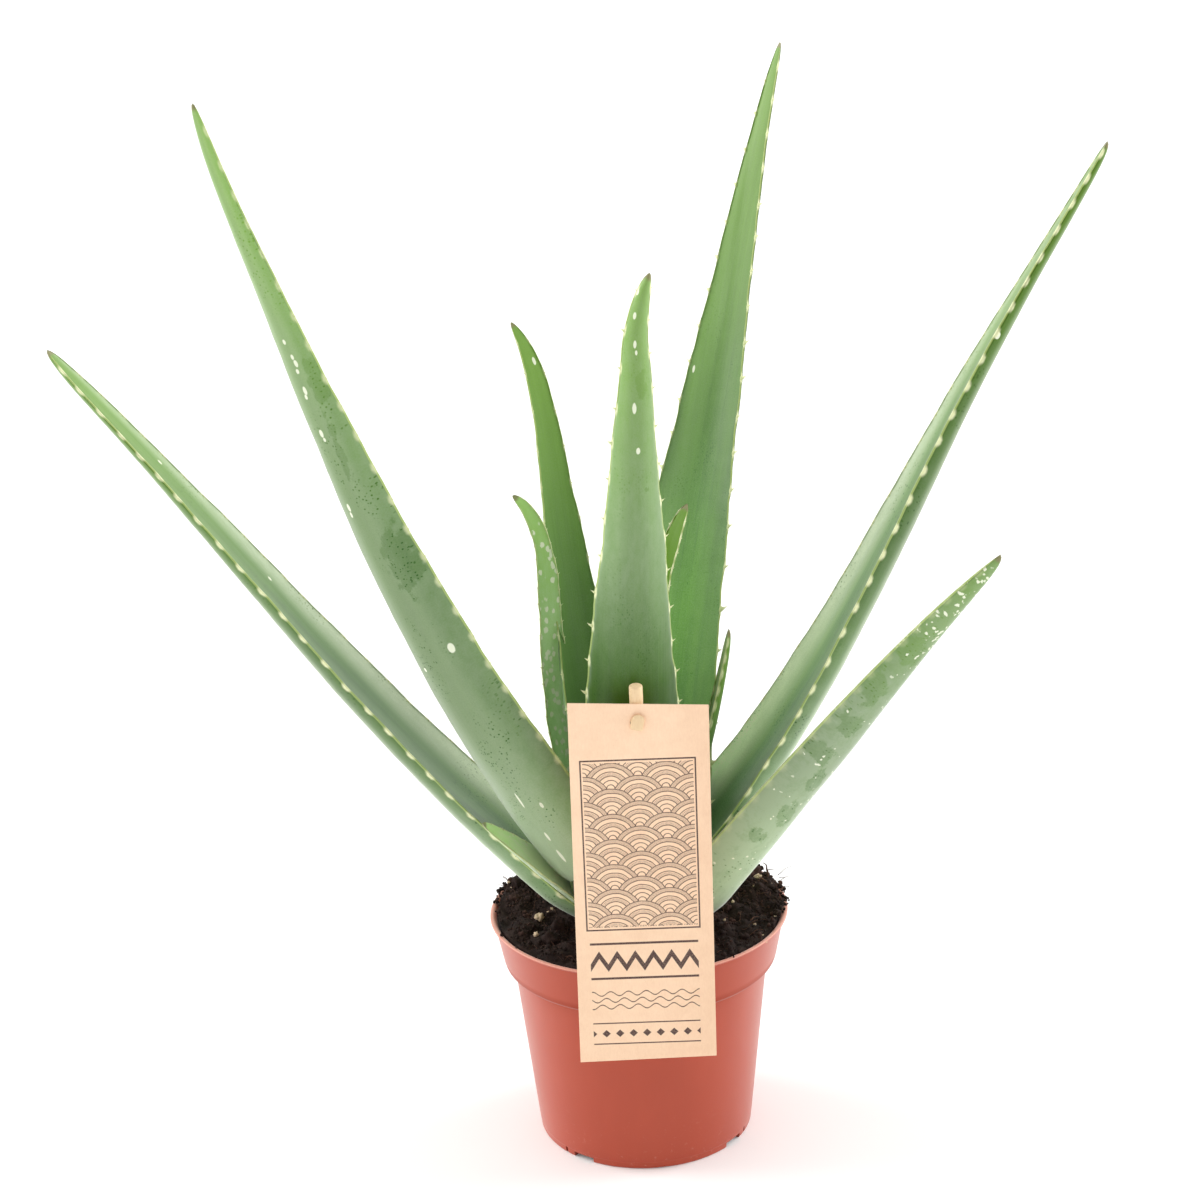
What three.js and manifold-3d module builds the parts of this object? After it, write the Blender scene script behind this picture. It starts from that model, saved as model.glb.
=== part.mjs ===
// A potted aloe: a plastic pot, its soil, a short stem with eleven leaves, and a
// card that hangs on a wooden stick. Millimetres, +Z up. The origin is the middle
// of the pot's underside, -Y is the front, where the card hangs.
import * as THREE from "three";
import { mergeVertices } from "three/addons/utils/BufferGeometryUtils.js";
import Module from "manifold-3d";

const wasm = await Module();
wasm.setup();

const GAP = 0.3; // clearance between pieces that touch
const { degToRad, smoothstep, lerp } = THREE.MathUtils;

// ---------------------------------------------------------------- sizes: pot
const POT = {
  height: 94.5,
  footRadius: 43.4,
  bodyTopRadius: 51.3,
  shoulderHeight: 75.3,
  bandBottomRadius: 55.2,
  bandTopRadius: 58.6,
  lipRadius: 60,
  lipThickness: 1.2,
  wall: 1.1,
  base: 1.2,
  recessDepth: 2,
  centrePadRadius: 16,
  footRingWidth: 7,
  segments: 40,
};
const DRAIN = {
  count: 4,
  firstAngle: -126.5,
  width: 9.5,
  height: 2.3,
  slitWidth: 1.2,
  slitHeight: 2.8,
  slitOffset: 12,
};

// --------------------------------------------------------------- sizes: soil
const SOIL = {
  edgeHeight: 93,
  rings: [50, 42, 34, 26, 17, 8],
  segments: 36,
};
// Loose heaps that stand above the middle of the soil: place, height, spread.
const HEAPS = [
  { x: 48, y: 14, rise: 4.5, spread: 15 },
  { x: -46, y: 20, rise: 4, spread: 16 },
  { x: 6, y: 44, rise: 2.5, spread: 18 },
  { x: -8, y: -4, rise: 2, spread: 30 },
];

// --------------------------------------------------------------- sizes: stem
const STEM = { bottom: 62, radius: 11, shoulder: 95, tipHeight: 106 };

// ------------------------------------------------------------- sizes: leaves
// azimuth: the way the leaf points, from +X towards +Y
// lean: angle from upright above the foot, half way and at the tip
// hook: more lean in the last third; side: sideways bow at the tip; curl: more
// of that bow in the last third; flick: more still in the last tenth
// half: half the greatest width; thick: greatest thickness; channel: its depth
// over the half width; taper: how fast it narrows; blunt: extra width near the
// tip; roll: turn about its own line at the foot and at the tip; out, across,
// up: where the foot starts
const LEAF_DEFAULTS = { hook: 0, side: 0, curl: 0, flick: 0, across: 0, foot: 26, along: 16 };
const LAST_THIRD = 0.7; // where hook and curl set in
const LAST_TENTH = 0.9; // where flick sets in
const LEAVES = {
  leaf_centre_young: {
    azimuth: 45, lean: [2.5, 6.9, 22], hook: 18, side: -1.6, curl: -3.5, roll: [0, 5],
    length: 166, half: 9.4, thick: 4, channel: 0.32, taper: 0.57, blunt: 1.8,
    out: 2, up: 96, foot: 14, along: 12,
  },
  leaf_right_slender: {
    azimuth: 6, lean: [20.5, 17.2, 11.7], hook: -0.9, roll: [0, 2],
    length: 116.5, half: 5.5, thick: 4, channel: 0.32, taper: 0.83, blunt: 2.4,
    out: 7, across: -1, up: 99, foot: 14, along: 10,
  },
  leaf_tall: {
    azimuth: 64, lean: [10.7, 26.5, 17.3], hook: 3.1, side: -2.8, curl: -5.8, roll: [10.6, -25.5],
    length: 363.5, half: 27.2, thick: 13.5, channel: 0.16, taper: 0.89, blunt: 1.4,
    out: 6.5, across: 1.5, up: 87,
  },
  leaf_right_high: {
    azimuth: 13, lean: [51, 29.7, 45], hook: -12.5, side: -1, curl: 1, roll: [10, -16],
    length: 346, half: 18.5, thick: 11.5, channel: 0.24, taper: 0.81, blunt: 2.6,
    out: 6.5, up: 100,
  },
  leaf_left_high: {
    azimuth: 212, lean: [40.5, 24.4, 21.9], hook: -3.7, side: -0.9, curl: 0.4, roll: [20, 12],
    length: 375, half: 23.6, thick: 11.5, channel: 0.33, taper: 0.91, blunt: 2,
    flick: 10, out: 4, up: 96,
  },
  leaf_back_left: {
    azimuth: 125, lean: [12.5, 14.1, 13.7], hook: 25, side: -3.5, curl: 2.2, roll: [2, -6],
    length: 248, half: 15.6, thick: 11, channel: 0.32, taper: 0.76, blunt: 1.6,
    flick: 14, out: 7.5, up: 86,
  },
  leaf_front: {
    azimuth: 279, lean: [18, 10.8, -1], hook: -2.5, side: 3.3, curl: -1.5, roll: [-1, -2],
    length: 284, half: 25.6, thick: 12, channel: 0.32, taper: 0.93, blunt: 2.2,
    flick: 22, out: 8, across: -6.4, up: 86,
  },
  leaf_left_small: {
    azimuth: 209, lean: [43, 45.5, 48.6], side: 4, curl: 4, roll: [-28, -35],
    length: 88, half: 10.4, thick: 4, channel: 0.2, taper: 0.55, blunt: 0,
    out: 8.9, across: -1.5, up: 84.8, foot: 14, along: 10,
  },
  leaf_left_low: {
    azimuth: 178, lean: [51.5, 38.9, 42.3], hook: -2.2, side: 1.5, curl: 0.6, roll: [-7, -8.5],
    length: 326.5, half: 21, thick: 11.5, channel: 0.16, taper: 0.75, blunt: 2.7,
    out: 7.5, up: 81.7,
  },
  leaf_right_low: {
    azimuth: -27, lean: [39, 39.4, 44.3], hook: 3, side: -3.6, curl: -1, roll: [-3, -4],
    length: 233, half: 15.4, thick: 15, channel: 0.28, taper: 0.54, blunt: 0,
    out: 7, up: 82,
  },
  leaf_left_spotted: {
    azimuth: 165, lean: [12.5, 5, -15.7], hook: 54.4, side: 10.5, curl: 18, roll: [-55, -60],
    length: 189, half: 6.6, thick: 5, channel: 0.12, taper: 0.4, blunt: 0,
    out: 19.1, across: -18, up: 82, foot: 14, along: 12,
  },
};
const FOOT_LEAN = 8; // lean of every leaf where it leaves the stem
const FOOT_WIDTH = 0.7; // width of the foot over the greatest width
const WIDTH_POWER = 1.2; // how late the narrowing starts
const THICKNESS_POWER = 0.78; // how the thickness follows the width
const BLUNT_START = 10; // the blunt end's width is given this far from the tip
const BLUNT_FADE = 25; // and it fades out over this distance
const TIP_END = 0.994; // the fine point is cut just short of its end
const LEAF_AROUND = 12;

// --------------------------------------------------- sizes: card and its stick
const CARD = {
  thickness: 0.6,
  back: -60.3, // Y of its back face, just clear of the pot's lip
  topLeft: [-23.6, 206.8],
  topRight: [28.4, 204.2],
  bottomRight: [27.9, 59.4],
  bottomLeft: [-24.6, 58.5],
  hole: [1.2, 197.9],
  holeRadius: 2.7,
};
const STICK = {
  x: 1.8,
  radius: 2.5,
  topHeight: 212,
  bottomHeight: 46,
  restHeight: 205.5, // where it touches the card's back
  tilt: 6,
};
const HOOK = {
  rootWidth: 2.4,
  rootHeight: 1.8,
  width: 4.8,
  thickness: 1.6,
  bottom: 195.9,
  top: 201.8,
};

// ------------------------------------------------------------------ materials
const finish = (color, roughness) =>
  new THREE.MeshStandardMaterial({ color, roughness, metalness: 0 });
const potPlastic = finish(0xbe6350, 0.5);
const peat = finish(0x2b1d1a, 0.95);
const leafGreen = finish(0x7f9c70, 0.5);
const stemGreen = finish(0x9aa884, 0.6);
const kraftCard = finish(0xf0c8a2, 0.85);
const paleWood = finish(0xf0d4ab, 0.75);

// ------------------------------------------------------------- joins and cuts
function solidFrom(geometry) {
  const plain = geometry.clone();
  plain.deleteAttribute("normal");
  plain.deleteAttribute("uv");
  const merged = mergeVertices(plain, 1e-4);
  const mesh = new wasm.Mesh({
    numProp: 3,
    vertProperties: new Float32Array(merged.attributes.position.array),
    triVerts: new Uint32Array(merged.index.array),
  });
  return new wasm.Manifold(mesh);
}

function geometryFrom(solid) {
  const mesh = solid.getMesh();
  const geometry = new THREE.BufferGeometry();
  const positions = new THREE.BufferAttribute(mesh.vertProperties, 3);
  geometry.setAttribute("position", positions);
  geometry.setIndex(new THREE.BufferAttribute(mesh.triVerts, 1));
  geometry.computeVertexNormals();
  return geometry;
}

function cut(geometry, cutters) {
  const whole = solidFrom(geometry);
  const left = cutters.reduce((solid, tool) => solid.subtract(solidFrom(tool)), whole);
  const pieces = left.decompose().sort((a, b) => b.volume() - a.volume());
  return geometryFrom(pieces[0]);
}

function join(geometries) {
  const [first, ...rest] = geometries.map(solidFrom);
  return geometryFrom(rest.reduce((solid, next) => solid.add(next), first));
}

function named(name, geometry, material) {
  const mesh = new THREE.Mesh(geometry, material);
  mesh.name = name;
  return mesh;
}

// A profile of [radius, height] pairs turned about +Z.
function turned(profile, segments) {
  const points = profile.map(([radius, height]) => new THREE.Vector2(radius, height));
  return new THREE.LatheGeometry(points, segments).rotateX(Math.PI / 2);
}

// ------------------------------------------------------------------------ pot
function potProfile() {
  const p = POT;
  const inner = p.footRadius - p.wall;
  const ring = p.footRadius - p.footRingWidth;
  const lipBottom = p.height - p.lipThickness;
  const bandInner = p.bandBottomRadius - p.wall;
  return [
    [0, 0],
    [p.centrePadRadius, 0],
    [p.centrePadRadius + 1.5, p.recessDepth],
    [ring - 1.5, p.recessDepth],
    [ring, 0],
    [p.footRadius - 0.4, 0],
    [p.footRadius, 0.5],
    [p.bodyTopRadius, p.shoulderHeight - 2],
    [p.bandBottomRadius - 1.2, p.shoulderHeight - 0.9],
    [p.bandBottomRadius, p.shoulderHeight + 0.8],
    [p.bandTopRadius, lipBottom],
    [p.lipRadius, lipBottom + 0.2],
    [p.lipRadius, p.height - 0.2],
    [p.lipRadius - 0.4, p.height],
    [p.bandTopRadius, p.height],
    [p.bandTopRadius - p.wall, p.height - p.lipThickness],
    [bandInner, p.shoulderHeight + 1.6],
    [bandInner - 2, p.shoulderHeight + 0.3],
    [p.bodyTopRadius - p.wall, p.shoulderHeight - 1],
    [inner, p.base],
    [ring + 0.6, p.base],
    [ring - 0.9, p.recessDepth + p.base],
    [p.centrePadRadius + 0.9, p.recessDepth + p.base],
    [p.centrePadRadius - 0.6, p.base],
    [0, p.base],
  ];
}

function drainCutter(angle, width, height) {
  const depth = POT.footRingWidth + 4;
  const box = new THREE.BoxGeometry(depth, width, 2 * height);
  box.translate(POT.footRadius - POT.footRingWidth / 2, 0, 0);
  return box.rotateZ(degToRad(angle));
}

function makePot() {
  const cutters = [];
  for (let i = 0; i < DRAIN.count; i += 1) {
    const angle = DRAIN.firstAngle + (360 / DRAIN.count) * i;
    const side = i % 2 ? 1 : -1;
    cutters.push(drainCutter(angle, DRAIN.width, DRAIN.height));
    const slitAngle = angle + side * DRAIN.slitOffset;
    cutters.push(drainCutter(slitAngle, DRAIN.slitWidth, DRAIN.slitHeight));
  }
  const body = turned(potProfile(), POT.segments);
  return named("pot", cut(body, cutters), potPlastic);
}

// ----------------------------------------------------------------------- soil
function soilHeight(x, y) {
  const heaps = HEAPS.map((heap) => {
    const distance = Math.hypot(x - heap.x, y - heap.y) / heap.spread;
    return heap.rise * Math.exp(-distance * distance);
  });
  const crumbs = 0.6 * Math.sin(0.37 * x + 1) * Math.cos(0.33 * y + 0.4);
  return SOIL.edgeHeight + 1 + crumbs + heaps.reduce((sum, rise) => sum + rise, 0);
}

function makeSoil(cutters) {
  const clear = POT.wall + GAP + 0.1;
  const bandInner = POT.bandBottomRadius - clear;
  const bottom = POT.recessDepth + POT.base + GAP;
  const profile = [
    [0, bottom],
    [POT.footRadius - clear, bottom],
    [POT.bodyTopRadius - clear - 0.3, POT.shoulderHeight - 0.8],
    [bandInner - 1.6, POT.shoulderHeight + 1],
    [bandInner - 0.1, POT.shoulderHeight + 2.2],
    [POT.bandTopRadius - clear - 0.4, SOIL.edgeHeight - 1],
    ...SOIL.rings.map((radius) => [radius, SOIL.edgeHeight]),
    [0, SOIL.edgeHeight],
  ];
  const geometry = turned(profile, SOIL.segments);
  const spot = geometry.attributes.position;
  for (let i = 0; i < spot.count; i += 1) {
    if (spot.getZ(i) > SOIL.edgeHeight - 0.5) {
      spot.setZ(i, soilHeight(spot.getX(i), spot.getY(i)));
    }
  }
  return named("soil", cut(geometry, cutters), peat);
}

// ----------------------------------------------------------------------- stem
function stemShape(grow) {
  const s = STEM;
  return turned(
    [
      [0, s.bottom - grow],
      [s.radius * 0.75 + grow, s.bottom - grow],
      [s.radius + grow, s.bottom + 8],
      [s.radius + grow, s.shoulder],
      [s.radius * 0.62 + grow, s.shoulder + 7 + grow],
      [0, s.tipHeight + grow],
    ],
    20,
  );
}

// --------------------------------------------------------------------- leaves
const lastThird = (s) => Math.max(0, (s - LAST_THIRD) / (1 - LAST_THIRD)) ** 2;
const lastTenth = (s) => Math.max(0, (s - LAST_TENTH) / (1 - LAST_TENTH));

// The leaf's own frame: the way it points is +X, its width lies along Y.
function leafLean(leaf, s) {
  const [low, middle, tip] = leaf.lean;
  const bend = low * (1 - s) * (1 - 2 * s) + 4 * middle * s * (1 - s) + tip * s * (2 * s - 1);
  const blade = bend + leaf.hook * lastThird(s);
  return lerp(FOOT_LEAN, blade, smoothstep(s, 0, leaf.foot / leaf.length));
}

function leafDirection(leaf, s) {
  const lean = degToRad(leafLean(leaf, s));
  const bow = degToRad(
    leaf.side * s * s + leaf.curl * lastThird(s) + leaf.flick * lastTenth(s),
  );
  const flat = Math.cos(bow);
  return new THREE.Vector3(Math.sin(lean) * flat, Math.sin(bow), Math.cos(lean) * flat);
}

function leafLine(leaf, steps = 240) {
  const point = new THREE.Vector3(leaf.out, leaf.across, leaf.up);
  const line = [point.clone()];
  for (let i = 0; i < steps; i += 1) {
    point.addScaledVector(leafDirection(leaf, (i + 0.5) / steps), leaf.length / steps);
    line.push(point.clone());
  }
  return (s) => line[Math.round(s * steps)].clone();
}

function leafHalfWidth(leaf, s) {
  const blade = leaf.half * Math.pow(1 - Math.pow(s, WIDTH_POWER), leaf.taper);
  const left = (1 - s) * leaf.length;
  const blunt = leaf.blunt * Math.sqrt(left / BLUNT_START) * Math.exp(-left / BLUNT_FADE);
  return blade * lerp(FOOT_WIDTH, 1, smoothstep(s, 0, (1.6 * leaf.foot) / leaf.length)) + blunt;
}

// Height of the upper or lower face over the line between the two margins.
function leafFace(leaf, s, across, upper) {
  const half = leafHalfWidth(leaf, s);
  const open = smoothstep(s, 0, (1.6 * leaf.foot) / leaf.length);
  const channel = leaf.channel * half * open * smoothstep(1 - s, 0, 0.5);
  const inside = Math.max(0, 1 - across * across);
  if (upper) return -channel * inside;
  const thickness = leaf.thick * Math.pow(half / leaf.half, THICKNESS_POWER);
  return -(channel + thickness) * Math.pow(inside, 0.7);
}

function leafShape(leaf, grow) {
  const line = leafLine(leaf);
  const tube = new THREE.CylinderGeometry(1, 1, 1, LEAF_AROUND, leaf.along);
  const spot = tube.attributes.position;
  const corner = new THREE.Vector3();
  for (let i = 0; i < spot.count; i += 1) {
    corner.fromBufferAttribute(spot, i);
    const fromFoot = corner.y + 0.5;
    const s = TIP_END * Math.pow(fromFoot, 1.2);
    const centre = Math.hypot(corner.x, corner.z) < 0.5;
    const side = Math.sign(Math.round(corner.x * 1000));
    const across = centre ? 0 : THREE.MathUtils.clamp(corner.z, -1, 1);
    const along = leafDirection(leaf, s);
    const width = new THREE.Vector3(0, 1, 0).addScaledVector(along, -along.y).normalize();
    const upward = along.clone().cross(width);
    const roll = degToRad(lerp(leaf.roll[0], leaf.roll[1], s));
    width.applyAxisAngle(along, roll);
    upward.applyAxisAngle(along, roll);
    const upperFace = leafFace(leaf, s, across, true);
    const lowerFace = leafFace(leaf, s, across, false);
    const middle = (upperFace + lowerFace) / 2;
    const height = centre || side === 0 ? middle : side > 0 ? upperFace : lowerFace;
    const margin = !centre && side === 0;
    const reach = leafHalfWidth(leaf, s) + (margin ? 2.5 : 1) * grow;
    const place = line(s)
      .addScaledVector(width, across * reach)
      .addScaledVector(upward, height + (margin ? 2.5 : 1.3 * side) * grow)
      .addScaledVector(along, grow * (fromFoot < 0.01 ? -1 : 0));
    spot.setXYZ(i, place.x, place.y, place.z);
  }
  return tube;
}

function makeLeaves(stem, plant) {
  const placed = [{ mesh: stem, grown: stemShape(GAP) }];
  for (const [name, sizes] of Object.entries(LEAVES)) {
    const leaf = { ...LEAF_DEFAULTS, ...sizes };
    const turn = new THREE.Matrix4().makeRotationZ(degToRad(leaf.azimuth));
    const back = turn.clone().invert();
    const cutters = placed.map(({ grown }) => grown.clone().applyMatrix4(back));
    const mesh = named(name, cut(leafShape(leaf, 0), cutters), leafGreen);
    mesh.rotation.z = degToRad(leaf.azimuth);
    plant.add(mesh);
    placed.push({ mesh, grown: leafShape(leaf, GAP).applyMatrix4(turn) });
  }
  return placed.map(({ grown }) => grown);
}

// ------------------------------------------------------------- card and stick
function makeCard() {
  const outline = new THREE.Shape(
    [CARD.bottomLeft, CARD.bottomRight, CARD.topRight, CARD.topLeft].map(
      ([x, z]) => new THREE.Vector2(x, z),
    ),
  );
  const hole = new THREE.Path();
  hole.absarc(CARD.hole[0], CARD.hole[1], CARD.holeRadius, 0, 2 * Math.PI, true);
  outline.holes.push(hole);
  const settings = { depth: CARD.thickness, bevelEnabled: false, curveSegments: 16 };
  const card = named("label_card", new THREE.ExtrudeGeometry(outline, settings), kraftCard);
  card.rotation.x = Math.PI / 2;
  card.position.y = CARD.back;
  return card;
}

function stickShape(grow) {
  const tilt = degToRad(STICK.tilt);
  const length = (STICK.topHeight - STICK.bottomHeight) / Math.cos(tilt) + 2 * grow;
  const middle = (STICK.topHeight + STICK.bottomHeight) / 2;
  const restY = CARD.back + GAP + STICK.radius / Math.cos(tilt);
  const dowel = new THREE.CylinderGeometry(STICK.radius + grow, STICK.radius + grow, length, 16);
  dowel.rotateX(Math.PI / 2 + tilt);
  dowel.translate(STICK.x, restY - (middle - STICK.restHeight) * Math.tan(tilt), middle);
  return dowel;
}

function makeStick() {
  const front = CARD.back - CARD.thickness - GAP;
  const rootTop = CARD.hole[1] + CARD.holeRadius - 0.7;
  const rootDepth = STICK.radius + CARD.thickness + HOOK.thickness + 1;
  const root = new THREE.BoxGeometry(HOOK.rootWidth, rootDepth, HOOK.rootHeight);
  root.translate(
    CARD.hole[0],
    front - HOOK.thickness / 2 + rootDepth / 2,
    rootTop - HOOK.rootHeight / 2,
  );
  const tongue = new THREE.Shape();
  const half = HOOK.width / 2;
  tongue.moveTo(-half, HOOK.bottom);
  tongue.lineTo(half, HOOK.bottom);
  tongue.lineTo(half, HOOK.top - half);
  tongue.absarc(0, HOOK.top - half, half, 0, Math.PI, false);
  tongue.closePath();
  const settings = { depth: HOOK.thickness, bevelEnabled: false, curveSegments: 8 };
  const tongueSolid = new THREE.ExtrudeGeometry(tongue, settings);
  tongueSolid.rotateX(Math.PI / 2).translate(STICK.x, front, 0);
  return named("label_stick", join([stickShape(0), root, tongueSolid]), paleWood);
}

// ------------------------------------------------------------------- assembly
const aloe = new THREE.Group();
const plant = new THREE.Group();
const label = new THREE.Group();
const stem = named("stem", stemShape(0), stemGreen);
plant.add(stem);
const grownPlant = makeLeaves(stem, plant);
aloe.add(makePot(), makeSoil([...grownPlant, stickShape(GAP)]), plant, label);
label.add(makeCard(), makeStick());

export default aloe;
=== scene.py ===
"""A potted aloe with a card on a stick, laid out as a Blender add-on.

Sizes are in millimetres wherever a name doesn't say otherwise, and a mesh is
scaled to metres when it is made. +Z is up and -Y is the front.
"""

import math
from dataclasses import dataclass

import bmesh
import bpy
import numpy as np
from bpy.props import FloatProperty, FloatVectorProperty, IntProperty, PointerProperty
from mathutils import Matrix, Vector, noise


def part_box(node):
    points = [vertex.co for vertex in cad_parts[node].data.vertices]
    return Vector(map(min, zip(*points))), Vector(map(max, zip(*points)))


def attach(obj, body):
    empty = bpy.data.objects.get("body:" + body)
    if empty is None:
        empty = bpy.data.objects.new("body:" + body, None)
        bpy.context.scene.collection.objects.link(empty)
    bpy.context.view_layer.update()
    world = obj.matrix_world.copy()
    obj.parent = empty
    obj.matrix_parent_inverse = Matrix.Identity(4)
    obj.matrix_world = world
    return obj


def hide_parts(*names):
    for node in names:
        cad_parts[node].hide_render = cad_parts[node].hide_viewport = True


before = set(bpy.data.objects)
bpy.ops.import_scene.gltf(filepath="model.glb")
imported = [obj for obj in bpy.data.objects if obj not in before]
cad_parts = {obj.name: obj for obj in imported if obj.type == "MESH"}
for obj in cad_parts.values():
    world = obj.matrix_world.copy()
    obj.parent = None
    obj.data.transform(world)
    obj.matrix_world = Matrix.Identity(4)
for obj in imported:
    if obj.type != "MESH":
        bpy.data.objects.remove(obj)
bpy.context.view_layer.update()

bl_info = {
    "name": "Potted aloe",
    "version": (1, 0, 0),
    "blender": (4, 5, 0),
    "location": "View3D > Sidebar > Aloe",
    "description": "Builds an aloe in a nursery pot, with a card that hangs on a stick",
    "category": "Add Mesh",
}

MM = 0.001
SEED = 11
POT_HEIGHT = round(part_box("pot")[1][2] / MM, 1)
CARD_BACK = round(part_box("label_card")[1][1] / MM, 1)


def tint(red, green, blue):
    """A colour given as it looks on a screen, 0 to 255, as linear numbers."""

    def linear(value):
        value /= 255
        return value / 12.92 if value <= 0.04045 else ((value + 0.055) / 1.055) ** 2.4

    return tuple(linear(value) for value in (red, green, blue))


def shaded(colour, factors):
    """The colour times one factor, or times one for each of its three parts."""
    return tuple((np.array(tuple(colour)) * factors).tolist())


def smooth(low, high, value):
    """0 below low, 1 above high, and an S-curve between them."""
    step = np.clip((np.asarray(value, float) - low) / (high - low), 0, 1)
    return step * step * (3 - 2 * step)


# ------------------------------------------------------------------ sizes


@dataclass(frozen=True)
class Leaf:
    """One leaf. Angles are in degrees, and leans are measured from upright."""

    azimuth: float  # the way it points, from +X towards +Y
    lean: tuple  # above the foot, half way and at the tip
    length: float
    half: float  # half the greatest width
    thick: float
    channel: float  # depth of the hollow upper face over half the width
    taper: float
    out: float  # where the foot starts: out from the axis, across and up
    up: float
    across: float = 0.0
    foot: float = 26.0
    hook: float = 0.0  # more lean in the last third
    side: float = 0.0  # sideways bow at the tip
    curl: float = 0.0  # more of that bow in the last third
    flick: float = 0.0  # and more still in the last tenth
    blunt: float = 0.0  # extra width near the tip
    roll: tuple = (0.0, 0.0)
    teeth: float = 13.0  # distance between the marginal teeth
    first: tuple = (20.0, 26.0)  # how far up the first tooth of each margin stands
    tooth: float = 1.0  # their size over the usual one
    light: tuple = (1.0, 1.0, 1.0)  # painted light and shade: how much lighter it is painted at the foot, half way and at the tip
    rise: tuple = (20.0, 130.0)  # where the foot's painted lightness ends
    sides: tuple = (1.0, 1.0)  # painted light and shade beside its left and its right margin
    painted_underside_light: float = 1.0  # painted lightness of its underside over its upper face
    pale: tuple = (0.0, 0.0)  # how much thick pale wax lies beside its left and its right margin; it is also a painted highlight, the pale glare there
    sheen: float = 0.8  # how much the skin's fine wax whitens at a glance
    deep: float = 0.4  # how dark and rich the green is
    bloom: float = 0.4  # how much pale wax lies on it
    rubbed: float = 0.0  # how much of that wax is rubbed off in patches
    specked: float = 0.5  # how strongly dark specks show in it
    bare: tuple = (-2.0, -1.0)  # the wax is missing below the first and full above the other
    rim: tuple = (0.3, 0.3)  # how rich the green is beside its left and its right margin
    marks: float = 0.9  # how bright the spots at the roots of the teeth are
    flecks: tuple = ()  # (amount, from, to, size) of pale flecks spread by chance
    spots: tuple = ()  # (along, across, length, width) of single pale spots
    rubs: tuple = ()  # the same for patches where the wax is rubbed off


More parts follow.
